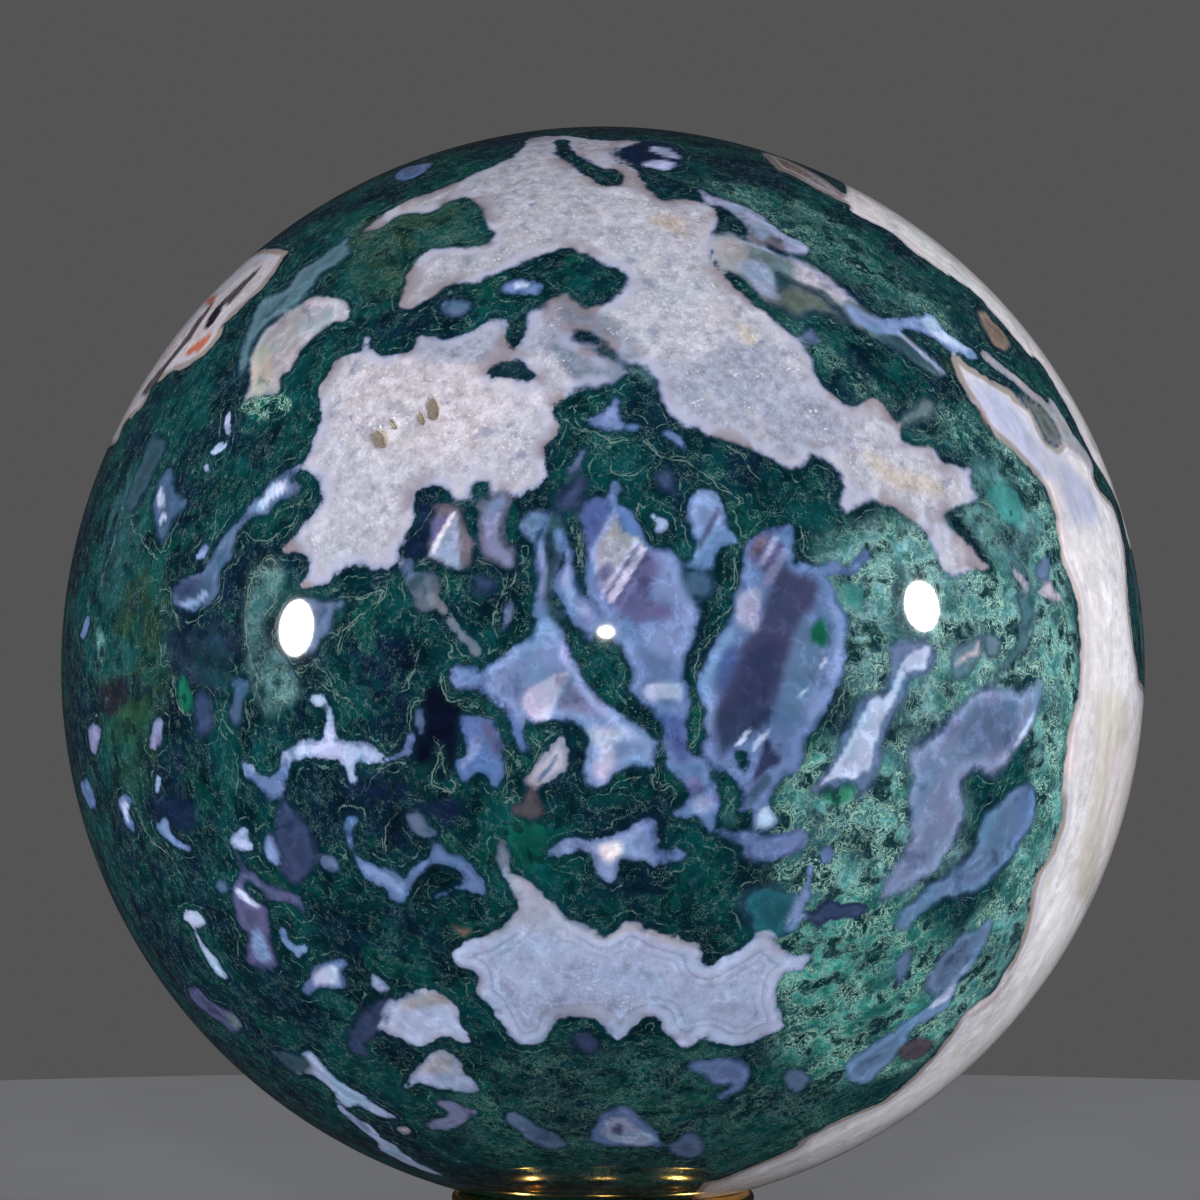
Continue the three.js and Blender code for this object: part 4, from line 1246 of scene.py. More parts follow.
@dataclass(frozen=True)
class Cavity:
    """A small open cavity in the quartz, as the solid has it, in degrees and millimetres."""

    round_deg: float
    up_deg: float
    turn_deg: float
    length: float
    width: float
    depth: float
    least_facing: float = 0.9

    def share_in(self, directions: np.ndarray, radius_mm: float) -> np.ndarray:
        """How far each point lies in the cavity: 1 - r^2 for an ellipse at its mouth.

        Args:
            directions: rows of unit directions.
            radius_mm: the stone's radius in millimetres.

        Returns:
            A share, 1 in the middle and 0 or less outside.
        """
        side, up, turn = (math.radians(a) for a in (self.round_deg, self.up_deg, self.turn_deg))
        middle = np.array([math.sin(side) * math.cos(up), -math.cos(side) * math.cos(up), math.sin(up)])
        across = unit(np.cross(np.array([0, 0, 1]), -middle))
        above = unit(np.cross(middle, -across))
        above = above if above[2] > 0 else -above
        along = math.cos(turn) * across + math.sin(turn) * above
        aside = -math.sin(turn) * across + math.cos(turn) * above
        offset = (directions - middle) * radius_mm
        ellipse = (offset @ along / (self.length / 2)) ** 2 + (offset @ aside / (self.width / 2)) ** 2
        return np.where(directions @ middle > self.least_facing, 1 - ellipse, -1)


def placed(name: str, data: bpy.types.ID) -> Piece:
    """A new object, linked into the scene.

    Args:
        name: the object's name.
        data: its mesh, light or camera.

    Returns:
        The object.
    """
    piece = bpy.data.objects.new(name, data)
    bpy.context.scene.collection.objects.link(piece)
    return piece


def make_mesh(name: str, points: np.ndarray, faces: list[list[int]]) -> Piece:
    """A smooth-shaded mesh object at the origin.

    Args:
        name: the object's name.
        points: rows of x, y, z in metres.
        faces: the corners of each face.

    Returns:
        The object, linked into the scene.
    """
    mesh = bpy.data.meshes.new(name)
    mesh.from_pydata(points.tolist(), [], faces)
    mesh.polygons.foreach_set("use_smooth", np.ones(len(faces), bool))
    mesh.update()
    return placed(name, mesh)


def turned(profile: np.ndarray, sectors: int, closed: bool) -> tuple[np.ndarray, np.ndarray]:
    """A profile turned about +Z: (r, z) goes to (r cos a, r sin a, z) for every angle a.

    Args:
        profile: rows of radius and height.
        sectors: how many angles there are.
        closed: whether the profile's last point joins its first.

    Returns:
        The points, and the four corners of each face.
    """
    count = len(profile)
    angle = np.linspace(0, 2 * math.pi, sectors, endpoint=False)[:, None]
    r, z = profile.T[:, None]
    points = np.stack([r * np.cos(angle), r * np.sin(angle), z + 0 * angle], axis=-1)
    i, j = np.meshgrid(np.arange(sectors), np.arange(count if closed else count - 1), indexing="ij")
    across, on = (i + 1) % sectors, (j + 1) % count
    faces = np.stack([i * count + j, across * count + j, across * count + on, i * count + on], axis=-1)
    return points.reshape(-1, 3), faces.reshape(-1, 4)


def ball_grid(steps: int) -> tuple[np.ndarray, np.ndarray]:
    """A closed ball of six grids, with no poles.

    Each face of a cube is a grid of (1, tan a, tan b), for a and b from -45 to 45 degrees,
    pushed out to the unit ball. Points that the faces share are merged.

    Args:
        steps: squares along each edge of the cube.

    Returns:
        Unit directions, and the four corners of each square.
    """
    line = np.tan(np.linspace(-math.pi / 4, math.pi / 4, steps + 1))
    a, b = np.meshgrid(line, line, indexing="ij")
    one = np.ones_like(a)
    sides = ((one, a, b), (-one, b, a), (b, one, a), (a, -one, b), (a, b, one), (b, a, -one))
    points = np.concatenate([np.stack(side, -1).reshape(-1, 3) for side in sides])
    corner = np.arange((steps + 1) ** 2).reshape(steps + 1, steps + 1)
    square = np.stack([corner[:-1, :-1], corner[1:, :-1], corner[1:, 1:], corner[:-1, 1:]], -1)
    faces = np.concatenate([square.reshape(-1, 4) + k * corner.size for k in range(len(sides))])
    merged, place = np.unique(np.round(unit(points), 7), axis=0, return_inverse=True)
    return unit(merged), place.reshape(-1)[faces]


def drawn_to_front(directions: np.ndarray, pull: float) -> np.ndarray:
    """Draws the points of a ball towards its front, so that the front is the finer.

    A point at angle t from the front goes to 2 atan(tan(t / 2) / pull), which keeps every small
    square a square.

    Args:
        directions: rows of unit directions.
        pull: how many times finer the front point gets.

    Returns:
        Rows of unit directions.
    """
    angle = from_front(directions)
    drawn = 2 * np.arctan(np.tan(np.minimum(angle, math.pi - TINY) / 2) / pull)
    side = directions[:, [0, 2]] * (np.sin(drawn) / np.maximum(np.sin(angle), TINY))[:, None]
    return unit(np.stack([side[:, 0], -np.cos(drawn), side[:, 1]], axis=1))


@dataclass(frozen=True)
class Signal:
    """A number carried between nodes, which Python's own sums and products join."""

    recipe: "Recipe"
    socket: Socket

    def __add__(self, other: "Signal | float") -> "Signal":
        """The sum."""
        return self.recipe.math("ADD", self, other)

    def __sub__(self, other: "Signal | float") -> "Signal":
        """The difference."""
        return self.recipe.math("SUBTRACT", self, other)

    def __rsub__(self, other: float) -> "Signal":
        """The difference from a number."""
        return self.recipe.math("SUBTRACT", other, self)

    def __mul__(self, other: "Signal | float") -> "Signal":
        """The product."""
        return self.recipe.math("MULTIPLY", self, other)

    __radd__ = __add__
    __rmul__ = __mul__

    def maths(self, operation: str, *others: "Signal | float") -> "Signal":
        """Another operation of the Math node."""
        return self.recipe.math(operation, self, *others)

    def ease(self, low: float, high: float) -> "Signal":
        """A share with eased ends.

        Args:
            low: where it is 0.
            high: where it is 1, above low or below it.

        Returns:
            The share.
        """
        settings = {"Value": self, "From Min": low, "From Max": high}
        made = self.recipe.node("ShaderNodeMapRange", settings, interpolation_type="SMOOTHSTEP")
        return Signal(self.recipe, made.outputs["Result"])


class Recipe:
    """A material's nodes, written as sums of signals."""

    def __init__(self, name: str) -> None:
        """Starts a material with a shader and an output.

        Args:
            name: the material's name.
        """
        self.material = bpy.data.materials.new(name)
        self.material.use_nodes = True
        self.tree = self.material.node_tree
        self.tree.nodes.clear()
        self.shader = self.tree.nodes.new("ShaderNodeBsdfPrincipled")
        output = self.tree.nodes.new("ShaderNodeOutputMaterial")
        self.tree.links.new(self.shader.outputs["BSDF"], output.inputs["Surface"])

    def feed(self, socket: Socket, value: "Signal | Value") -> None:
        """Sets a socket to a value, or joins a signal or another socket to it.

        Args:
            socket: the socket that is set.
            value: a number, a colour, a place, a signal or another socket.
        """
        if isinstance(value, Signal):
            value = value.socket
        if isinstance(value, Socket):
            self.tree.links.new(value, socket)
        else:
            socket.default_value = value

    def finish(self, **inputs: "Signal | Value") -> bpy.types.Material:
        """Sets the shader's own sockets.

        Args:
            inputs: what each one gets, by its name with underscores for spaces.

        Returns:
            The material.
        """
        for name, value in inputs.items():
            self.feed(self.shader.inputs[name.replace("_", " ")], value)
        return self.material

    def node(self, kind: str, inputs: dict | None = None, **settings: str | bool) -> bpy.types.Node:
        """A node with its settings and inputs.

        Args:
            kind: the node's type.
            inputs: values or signals for its inputs, by name or number.
            settings: its other properties.

        Returns:
            The node.
        """
        made = self.tree.nodes.new(kind)
        for name, value in settings.items():
            setattr(made, name, value)
        for name, value in (inputs or {}).items():
            self.feed(made.inputs[name], value)
        return made

    def math(self, operation: str, *values: "Signal | float") -> Signal:
        """One operation of the Math node."""
        made = self.node("ShaderNodeMath", dict(enumerate(values)), operation=operation)
        return Signal(self, made.outputs[0])

    def field(self, name: str) -> Signal:
        """A number that the mesh carries on its points."""
        made = self.node("ShaderNodeAttribute", attribute_type="GEOMETRY", attribute_name=name)
        return Signal(self, made.outputs["Fac"])

    def colour_field(self, name: str) -> Socket:
        """A colour that the mesh carries on its points."""
        made = self.node("ShaderNodeAttribute", attribute_type="GEOMETRY", attribute_name=name)
        return made.outputs["Color"]

    def place(self, centre: np.ndarray, stretch: tuple[float, float, float] = (1, 1, 1)) -> Socket:
        """Places on the object in millimetres from a centre, stretched along each axis.

        Args:
            centre: the place that becomes 0, 0, 0.
            stretch: how many times longer a millimetre gets along x, y and z.

        Returns:
            The place's socket.
        """
        scale = tuple(s / MM for s in stretch)
        shift = tuple(-c * s for c, s in zip(centre, scale))
        coordinates = self.node("ShaderNodeTexCoord").outputs["Object"]
        made = self.node("ShaderNodeMapping", {"Vector": coordinates, "Scale": scale, "Location": shift})
        return made.outputs["Vector"]

    def vector(self, operation: str, *values: "Signal | Value") -> Socket:
        """One operation of the Vector Math node.

        Args:
            operation: the node's operation.
            values: its inputs, the second of which is the factor where it scales.

        Returns:
            The result's socket.
        """
        made = self.node("ShaderNodeVectorMath", operation=operation)
        names = (0, "Scale") if operation == "SCALE" else (0, 1)
        for name, value in zip(names, values):
            self.feed(made.inputs[name], value)
        return made.outputs[1 if operation in ("LENGTH", "DOT_PRODUCT") else 0]

    def noise(self, at: Socket, scale: float, detail: float = 2, rough: float = 0.5) -> Signal:
        """Cloudy noise about 0.5.

        Args:
            at: the place that it is read at.
            scale: lumps in a millimetre.
            detail: how many finer layers it has.
            rough: how strong each finer layer is.

        Returns:
            The noise.
        """
        settings = {"Vector": at, "Scale": scale, "Detail": detail, "Roughness": rough}
        return Signal(self, self.node("ShaderNodeTexNoise", settings).outputs[0])

    def grains(
        self, at: Socket, scale: float, weights: tuple[float, float, float]
    ) -> tuple[Signal, Signal]:
        """Scattered cells, which look like crystals.

        Args:
            at: the place that they are read at.
            scale: cells in a millimetre.
            weights: shares of each cell's three random numbers.

        Returns:
            The distance from the cell's middle, and the cell's own random number.
        """
        made = self.node("ShaderNodeTexVoronoi", {"Vector": at, "Scale": scale}, feature="F1")
        chance = self.vector("DOT_PRODUCT", made.outputs["Color"], weights)
        return Signal(self, made.outputs["Distance"]), Signal(self, chance)

    def warped(self, at: Socket, scale: float, reach: float) -> Socket:
        """A place moved about by noise.

        Args:
            at: the place.
            scale: lumps in a millimetre.
            reach: twice the furthest that it moves, in millimetres.

        Returns:
            The moved place's socket.
        """
        cloud = self.node("ShaderNodeTexNoise", {"Vector": at, "Scale": scale, "Detail": 2})
        drift = self.vector("SUBTRACT", cloud.outputs["Color"], (0.5, 0.5, 0.5))
        return self.vector("ADD", at, self.vector("SCALE", drift, reach))

    def mix(self, share: "Signal | float", first: Value, second: Value, blend: str = "MIX") -> Socket:
        """A mixture of two colours.

        Args:
            share: how much of the second.
            first, second: colours or sockets.
            blend: how they join.

        Returns:
            The mixed colour's socket.
        """
        made = self.node("ShaderNodeMix", data_type="RGBA", blend_type=blend, clamp_factor=True)
        for name, value in (("Factor_Float", share), ("A_Color", first), ("B_Color", second)):
            self.feed(next(s for s in made.inputs if s.identifier == name), value)
        return next(s for s in made.outputs if s.identifier == "Result_Color")

    def brighten(self, colour: Value, amount: Signal) -> Socket:
        """A colour times a number."""
        return self.vector("SCALE", colour[:3] if isinstance(colour, tuple) else colour, amount)

    def lines(self, value: Signal, level: float, width: float) -> Signal:
        """1 where a signal crosses a level, falling to 0 within its width: a contour line."""
        return (value - level).maths("ABSOLUTE").ease(width, width * 0.35)


class StoneLayers:
    """The layers of the stone's colour, which read the same places and the same fields of the mesh.

    An edge distance is in millimetres, less than zero in a window and more in the moss.
    """

    LILAC_SHIFT = (1.08, 0.97, 1.00, 1.0)
    BLUE_SHIFT = (0.84, 1.00, 0.99, 1.0)
    SUNK_SHIFT = (0.46, 0.50, 0.58, 1.0)
    RIM_SHIFT = (0.32, 0.46, 0.56, 1.0)
    LUMP_SHIFT = (1.25, 1.7, 1.45, 1.0)
    SPARK = (0.92, 0.91, 0.96, 1.0)

    def __init__(self, make: Recipe, centre: np.ndarray) -> None:
        """Works out what the layers share.

        Args:
            make: the recipe that the layers are added to.
            centre: the stone's centre.
        """
        self.make, self.centre = make, centre
        self.at = make.place(centre)
        self.drifted = make.warped(self.at, 0.22, 3.0)
        self.twisted = make.warped(self.at, 1.1, 1.5)
        self.traced = make.field("moss_edge")
        self.grain, self.bands, self.streaks = (make.field(name) for name in ("grain", "bands", "streaks"))
        self.fibre = make.field("fibre")
        self.grown = self.fibre.ease(0.0, 0.2)
        self.dense = (self.fibre - 0.3).ease(0.0, 0.6)
        self.mist = make.noise(self.drifted, 0.42, 3, 0.55)
        self.broken = make.noise(self.at, 0.9, 3, 0.6)
        self.edge = self.frayed_edge()

    def frayed_edge(self) -> Signal:
        """The distance into the moss, with edges that waver and fray.

        Returns:
            The distance.
        """
        noise = self.make.noise
        waver = noise(self.at, 0.60, 3) - 0.5
        fray = noise(self.at, 1.5, 2, 0.6) - 0.5
        frayed = noise(self.at, 0.22, 2).ease(0.45, 0.62) * 0.7 + 0.1
        return self.traced + waver * 1.4 + fray * frayed

    def colour(self) -> Socket:
        """The windows under the moss that covers them, with the cavities' crumbly walls and painted shade
        in their middles.

        Returns:
            The stone's colour.
        """
        make, pit = self.make, self.make.field("pit")
        softness = make.field("softness")
        cover = (self.edge + softness * 0.4).maths("DIVIDE", softness * 0.8 + 0.05).ease(0.0, 1.0)
        tone = make.mix(cover, self.window(), self.moss())
        speckle = make.noise(self.at, 2.2, 3, 0.7)
        crumb = make.brighten(Tone.PIT_WALL.light, speckle + 0.5)
        tone = make.mix(pit.ease(0.02, 0.4) * 0.9, tone, crumb)
        # painted shade: each cavity's middle goes speckled darker, as shade falls deep in it
        return make.mix(pit.ease(0.60, 1.0) * speckle.ease(0.40, 0.6) * 0.55, tone, Tone.PIT_SHADE.light)

    def window(self) -> Socket:
        """The windows: toned chalcedony, agate bands, quartz grain and the vein's streaks.

        Returns:
            Their colour.
        """
        make, drifted, edge = self.make, self.drifted, self.edge
        plain = (1 - self.grain * 0.8) * (1 - self.streaks * 0.9)
        hue = make.noise(drifted, 0.28, 3, 0.5)
        tone = make.colour_field("window_tone")
        tone = make.mix(hue.ease(0.50, 0.64) * plain, tone, self.LILAC_SHIFT, "MULTIPLY")
        tone = make.mix(hue.ease(0.49, 0.36) * plain, tone, self.BLUE_SHIFT, "MULTIPLY")
        cloud = make.noise(drifted, 0.55, 4, 0.55)
        swirl = make.noise(drifted, 0.36, 4, 0.6)
        wisp = make.lines(swirl, 0.50, 0.05) * cloud.ease(0.42, 0.60)
        glow = edge.ease(-0.20, -0.55) * edge.ease(-1.5, -0.7)
        tone = make.brighten(tone, cloud * 0.6 + 0.72 + (wisp * 0.30 + glow * 0.26 - 0.10) * plain)
        sunk = make.noise(drifted, 0.33, 3, 0.6).ease(0.56, 0.70)
        tone = make.mix(sunk * plain * 0.8, tone, self.SUNK_SHIFT, "MULTIPLY")
        tone = self.with_streaks(self.with_grain(self.with_bands(tone)))
        broad = make.noise(drifted, 0.3, 2).ease(0.46, 0.56)
        rim = edge.ease(-0.20, 0.05) * (1 - broad) + edge.ease(-0.55, 0.05) * broad
        return make.mix(rim * (plain * 0.60 + 0.15), tone, self.RIM_SHIFT, "MULTIPLY")

    def with_bands(self, tone: Socket) -> Socket:
        """Agate bands along the window's edge: pale lines at a few depths, and a mottled middle.

        Args:
            tone: the colour below.

        Returns:
            The colour with them.
        """
        make = self.make
        depth = (make.noise(self.at, 0.45, 4) - 0.5) * 0.7 - self.traced
        pale = make.lines(depth, 1.05, 0.16) + make.lines(depth, 1.75, 0.12) * 0.7
        dark = make.lines(depth, 1.32, 0.22) + make.lines(depth, 2.1, 0.25) * 0.6
        tone = make.mix(pale * self.bands * 0.45, tone, Tone.ICE.light)
        tone = make.mix(dark * self.bands * 0.35, tone, Tone.BAND.light)
        mottle = make.noise(self.at, 0.55, 5, 0.62).ease(0.46, 0.64) * self.traced.ease(-1.6, -2.6)
        return make.mix(mottle * self.bands * 0.45, tone, Tone.MOTTLE.light)

    def with_grain(self, tone: Socket) -> Socket:
        """Quartz: two sizes of crystal with grey clear spots and bright faces, in a smooth skin.

        Args:
            tone: the colour below.

        Returns:
            The colour with them.
        """
        make, at, drifted, edge, grain = self.make, self.at, self.drifted, self.edge, self.grain
        _, facet = make.grains(self.twisted, 1.15, (0.6, 0.3, 0.1))
        fine = make.noise(at, 3.8, 1)
        rough = make.noise(at, 1.1, 5, 0.68)
        core = (edge.ease(-0.5, -1.5) * 0.75 + 0.25) * grain
        sugar = (facet - 0.5) * 0.28 + (fine - 0.5) * 0.45 + (rough - 0.5) * 1.35
        tone = make.brighten(tone, sugar * core + 1.0)
        clear = make.noise(at, 0.50, 5, 0.66).ease(0.52, 0.66) * facet.ease(0.30, 0.62)
        tone = make.mix(clear * core * 0.75, tone, Tone.CLEAR_QUARTZ.light)
        warm = make.noise(at, 0.24, 5, 0.6).ease(0.57, 0.68)
        tone = make.mix(warm * core * 0.30, tone, Tone.WARM.light)
        spark = fine.ease(0.62, 0.70) * make.noise(at, 0.40, 4, 0.6).ease(0.50, 0.62)
        tone = make.mix(spark * core * 0.75, tone, self.SPARK)
        skin = edge.ease(-1.5, -0.6) * make.noise(drifted, 0.3, 2).ease(0.40, 0.56)
        tone = make.mix(skin * grain * 0.6, tone, Tone.SKIN.light)
        brown = make.noise(drifted, 0.20, 2).ease(0.47, 0.58)
        tone = make.mix(edge.ease(-2.4, 0.2) * brown * grain * 0.75, tone, Tone.FRINGE.light)
        return make.mix(edge.ease(-0.45, 0.05) * (1 - brown) * grain * 0.55, tone, Tone.BLUE_FRINGE.light)

    def with_streaks(self, tone: Socket) -> Socket:
        """The vein's body: long facets and streaks down it, with a pale line and a tan margin.

        Args:
            tone: the colour below.

        Returns:
            The colour with them.
        """
        make, streaks = self.make, self.streaks
        along = make.place(self.centre, (0.42, 0.75, 0.10))
        streaky = make.noise(along, 1.0, 6, 0.62)
        bent = make.warped(make.place(self.centre, (0.5, 0.8, 0.22)), 0.3, 1.2)
        _, facet = make.grains(bent, 0.42, (0.5, 0.2, 0.3))
        tone = make.brighten(tone, ((streaky - 0.5) * 0.55 + (facet - 0.5) * 0.30) * streaks + 1.0)
        stain = make.noise(along, 0.35, 4, 0.6).ease(0.50, 0.66)
        tone = make.mix(stain * streaks * 0.45, tone, Tone.CREAM.light)
        depth = (make.noise(self.at, 0.35, 4) - 0.5) * 0.9 - self.traced
        tone = make.mix(make.lines(depth, 1.45, 0.45) * streaks * 0.6, tone, Tone.VEIN_LINE.light)
        return make.mix(depth.ease(1.15, 0.5) * streaks * 0.85, tone, Tone.VEIN_MARGIN.light)

    def moss(self) -> Socket:
        """The moss: a dark clear depth, soft clouds in it, and sheets with pale edges near the top.

        Returns:
            Its colour.
        """
        make, edge, fibre, mist, broken = self.make, self.edge, self.fibre, self.mist, self.broken
        tone = self.with_sheets(make.colour_field("moss_tone"))
        rim = make.lines(edge + (mist - 0.5) * 1.4, 0.80, 0.10) * broken.ease(0.52, 0.40) * self.grown
        tone = make.mix(rim * 0.6, tone, Tone.MOSS_RIM.light)
        nap = make.noise(self.at, 2.6, 2, 0.7) - 0.5
        tone = make.brighten(tone, nap * (fibre * 1.6 + 0.4) + 1.0)
        tone = self.with_threads(self.with_grass(self.with_tangle(tone)))
        return make.mix(edge.ease(0.75, 0.05) * (0.60 - fibre * 0.45), tone, Tone.MOSS_EDGE.light)

    def with_sheets(self, tone: Socket) -> Socket:
        """Deep pools and lit green between them, and thin sheets of moss with pale outlines.

        Args:
            tone: the colour below.

        Returns:
            The colour with them.
        """
        make, at, drifted, grown = self.make, self.at, self.drifted, self.grown
        deep = make.noise(drifted, 0.15, 3, 0.55)
        pool = deep.ease(0.51, 0.59)
        tone = make.mix(pool * grown * 0.65, tone, Tone.DEPTH.light)
        tone = make.mix(deep.ease(0.47, 0.39) * grown * 0.55, tone, Tone.GREEN.light)
        tone = make.brighten(tone, self.mist * 2.4 - 0.20)
        fray = make.noise(at, 1.2, 3, 0.6) - 0.5
        sheet = make.noise(drifted, 0.24, 2) + fray * 0.09
        leaf = make.noise(make.warped(at, 0.5, 1.6), 0.50, 2) + fray * 0.10
        lush = make.noise(at, 0.18, 2).ease(0.48, 0.62)
        green = make.mix(lush, Tone.GREEN.light, Tone.LEAF.light)
        over = (1 - pool * 0.75) * grown
        tone = make.mix(sheet.ease(0.530, 0.560) * over * 0.45, tone, green)
        tone = make.mix(leaf.ease(0.57, 0.63) * over * 0.40, tone, green)
        tone = make.mix(leaf.ease(0.42, 0.38) * 0.60, tone, Tone.SHADE.light)
        outline = make.lines(sheet, 0.542, 0.005) + make.lines(leaf, 0.605, 0.008)
        return make.mix(outline * self.broken.ease(0.50, 0.60) * over * 0.6, tone, Tone.SHEET_RIM.light)

    def with_tangle(self, tone: Socket) -> Socket:
        """Tangled fibres where the moss lies near the surface: curled strands over dark gaps.

        The strands are contour lines of one twisted noise, and small rings about scattered spots.

        Args:
            tone: the colour below.

        Returns:
            The colour with them.
        """
        make, at, fibre, dense = self.make, self.at, self.fibre, self.dense
        ply = make.noise(make.warped(at, 0.8, 1.8), 0.50, 2, 0.5)
        bright = make.noise(at, 0.26, 3).ease(0.42, 0.56)
        fleck = make.noise(at, 2.0, 3, 0.65)
        tone = make.mix(ply.ease(0.475, 0.42) * dense * 0.85, tone, Tone.GAP.light)
        distance, chance = make.grains(self.twisted, 0.85, (0.34, 0.0, 0.0))
        radius = chance + 0.12
        ring = (distance - radius).maths("ABSOLUTE").ease(0.070, 0.021)
        hollow = (radius - distance).ease(0.0, 0.15)
        tone = make.mix(hollow * dense * (1 - bright * 0.6) * 0.4, tone, Tone.HOLLOW.light)
        lump = (ply + (fleck - 0.5) * 0.12).ease(0.49, 0.57) * dense
        tone = make.mix(lump * 0.5, tone, self.LUMP_SHIFT, "MULTIPLY")
        frizz = ply + (fleck - 0.5) * 0.09
        loops = (frizz * 24.0).maths("SINE").maths("ABSOLUTE").ease(0.45, 0.10)
        lit = make.mix(0.5, tone, Tone.LIT_MOSS.light)
        tone = make.mix(loops * fibre * self.mist.ease(0.40, 0.54) * (bright * 0.4 + 0.2), tone, lit)
        tone = make.mix(ring * fleck.ease(0.42, 0.52) * dense * (bright * 0.4 + 0.3), tone, Tone.CURL.light)
        crest = make.lines(frizz, 0.485, 0.020) + make.lines(frizz, 0.55, 0.016)
        crest = (crest + make.lines(frizz, 0.42, 0.014)) * self.mist.ease(0.34, 0.48) * dense
        tone = make.mix(crest * (bright * 0.55 + 0.4), tone, Tone.CREST.light)
        return make.mix(fleck.ease(0.60, 0.70) * fibre * bright * 0.5, tone, Tone.FLECK.light)

    def with_grass(self, tone: Socket) -> Socket:
        """Short pale blades that lie in beds.

        Args:
            tone: the colour below.

        Returns:
            The colour with them.
        """
        make = self.make
        bedded = make.warped(make.place(self.centre, (0.9, 2.0, 0.9)), 0.7, 0.9)
        grass = make.noise(bedded, 0.75, 3, 0.6)
        blades = make.lines(grass, 0.50, 0.011) + make.lines(grass, 0.56, 0.009)
        return make.mix(blades * self.broken.ease(0.42, 0.56) * self.grown * 0.5, tone, Tone.BLADE.light)

    def with_threads(self, tone: Socket) -> Socket:
        """The pale threads along their courses, each a strand with a finer one beside it.

        Args:
            tone: the colour below.

        Returns:
            The colour with them.
        """
        make, broken = self.make, self.broken
        curl = (make.noise(self.at, 1.3, 3) - 0.5) * 0.7
        course = make.field("thread_side") + curl
        beside = make.lines(course - curl * 1.5, 0.26, 0.05) * broken.ease(0.50, 0.58)
        strand = (make.lines(course, 0.0, 0.09) + beside) * make.field("thread_gap").ease(0.65, 0.40)
        strand = strand * (broken.ease(0.40, 0.56) * 0.85 + 0.15)
        return make.mix(strand * 0.75, tone, Tone.THREAD.light)


@dataclass(frozen=True)
class StoneFinish:
    """Polished moss agate: moss, clear windows, quartz and veins under one glassy surface."""

    centre: np.ndarray
    roughness: float = 0.045
    index: float = 1.54

    def material(self) -> bpy.types.Material:
        """Builds the stone's material from the fields on the mesh.

        Returns:
            The material.
        """
        make = Recipe("polished_moss_agate")
        layers = StoneLayers(make, self.centre)
        pit = make.field("pit")
        crumbs = make.noise(layers.at, 5, 1) * pit.ease(0.0, 0.3)
        bump = make.node("ShaderNodeBump", {"Height": crumbs, "Strength": 0.6, "Distance": 0.0004})
        rough = pit.ease(0.02, 0.2) * 0.5 + self.roughness
        return make.finish(
            Base_Color=layers.colour(), Roughness=rough, IOR=self.index, Normal=bump.outputs["Normal"]
        )


@dataclass(frozen=True)
class GoldFinish:
    """Bright gold plating with fine turned lines."""

    tone: tuple[int, int, int] = (222, 178, 92)
    roughness: float = 0.16

    def material(self) -> bpy.types.Material:
        """Builds the plating's material, whose lines are noise of the radius and the height.

        Returns:
            The material.
        """
        make = Recipe("gold_plating")
        at = make.place(np.zeros(3))
        apart = make.node("ShaderNodeSeparateXYZ", {0: at})
        flat = make.node("ShaderNodeCombineXYZ", {0: apart.outputs[0], 1: apart.outputs[1]})
        radius = make.vector("LENGTH", flat.outputs[0])
        rings_at = make.node("ShaderNodeCombineXYZ", {0: radius, 2: apart.outputs[2]}).outputs[0]
        rings = make.noise(rings_at, 14, 3, 0.6)
        cloud = make.noise(at, 0.35, 4, 0.6)
        colour = make.brighten(linear(*self.tone), cloud * 0.16 + rings * 0.12 + 0.86)
        rough = cloud * 0.10 + rings * 0.08 + (self.roughness - 0.08)
        bump = make.node("ShaderNodeBump", {"Height": rings, "Strength": 0.12, "Distance": 0.0001})
        return make.finish(Base_Color=colour, Roughness=rough, Metallic=1.0, Normal=bump.outputs["Normal"])


@dataclass(frozen=True)
class FloorFinish:
    """A plain pale tabletop."""

    tone: tuple[int, int, int] = (150, 151, 154)
    roughness: float = 0.75

    def material(self) -> bpy.types.Material:
        """Builds the tabletop's material.

        Returns:
            The material.
        """
        make = Recipe("pale_tabletop")
        cloud = make.noise(make.place(np.zeros(3)), 0.03, 4)
        colour = make.brighten(linear(*self.tone), cloud * 0.2 + 0.9)
        return make.finish(Base_Color=colour, Roughness=self.roughness)


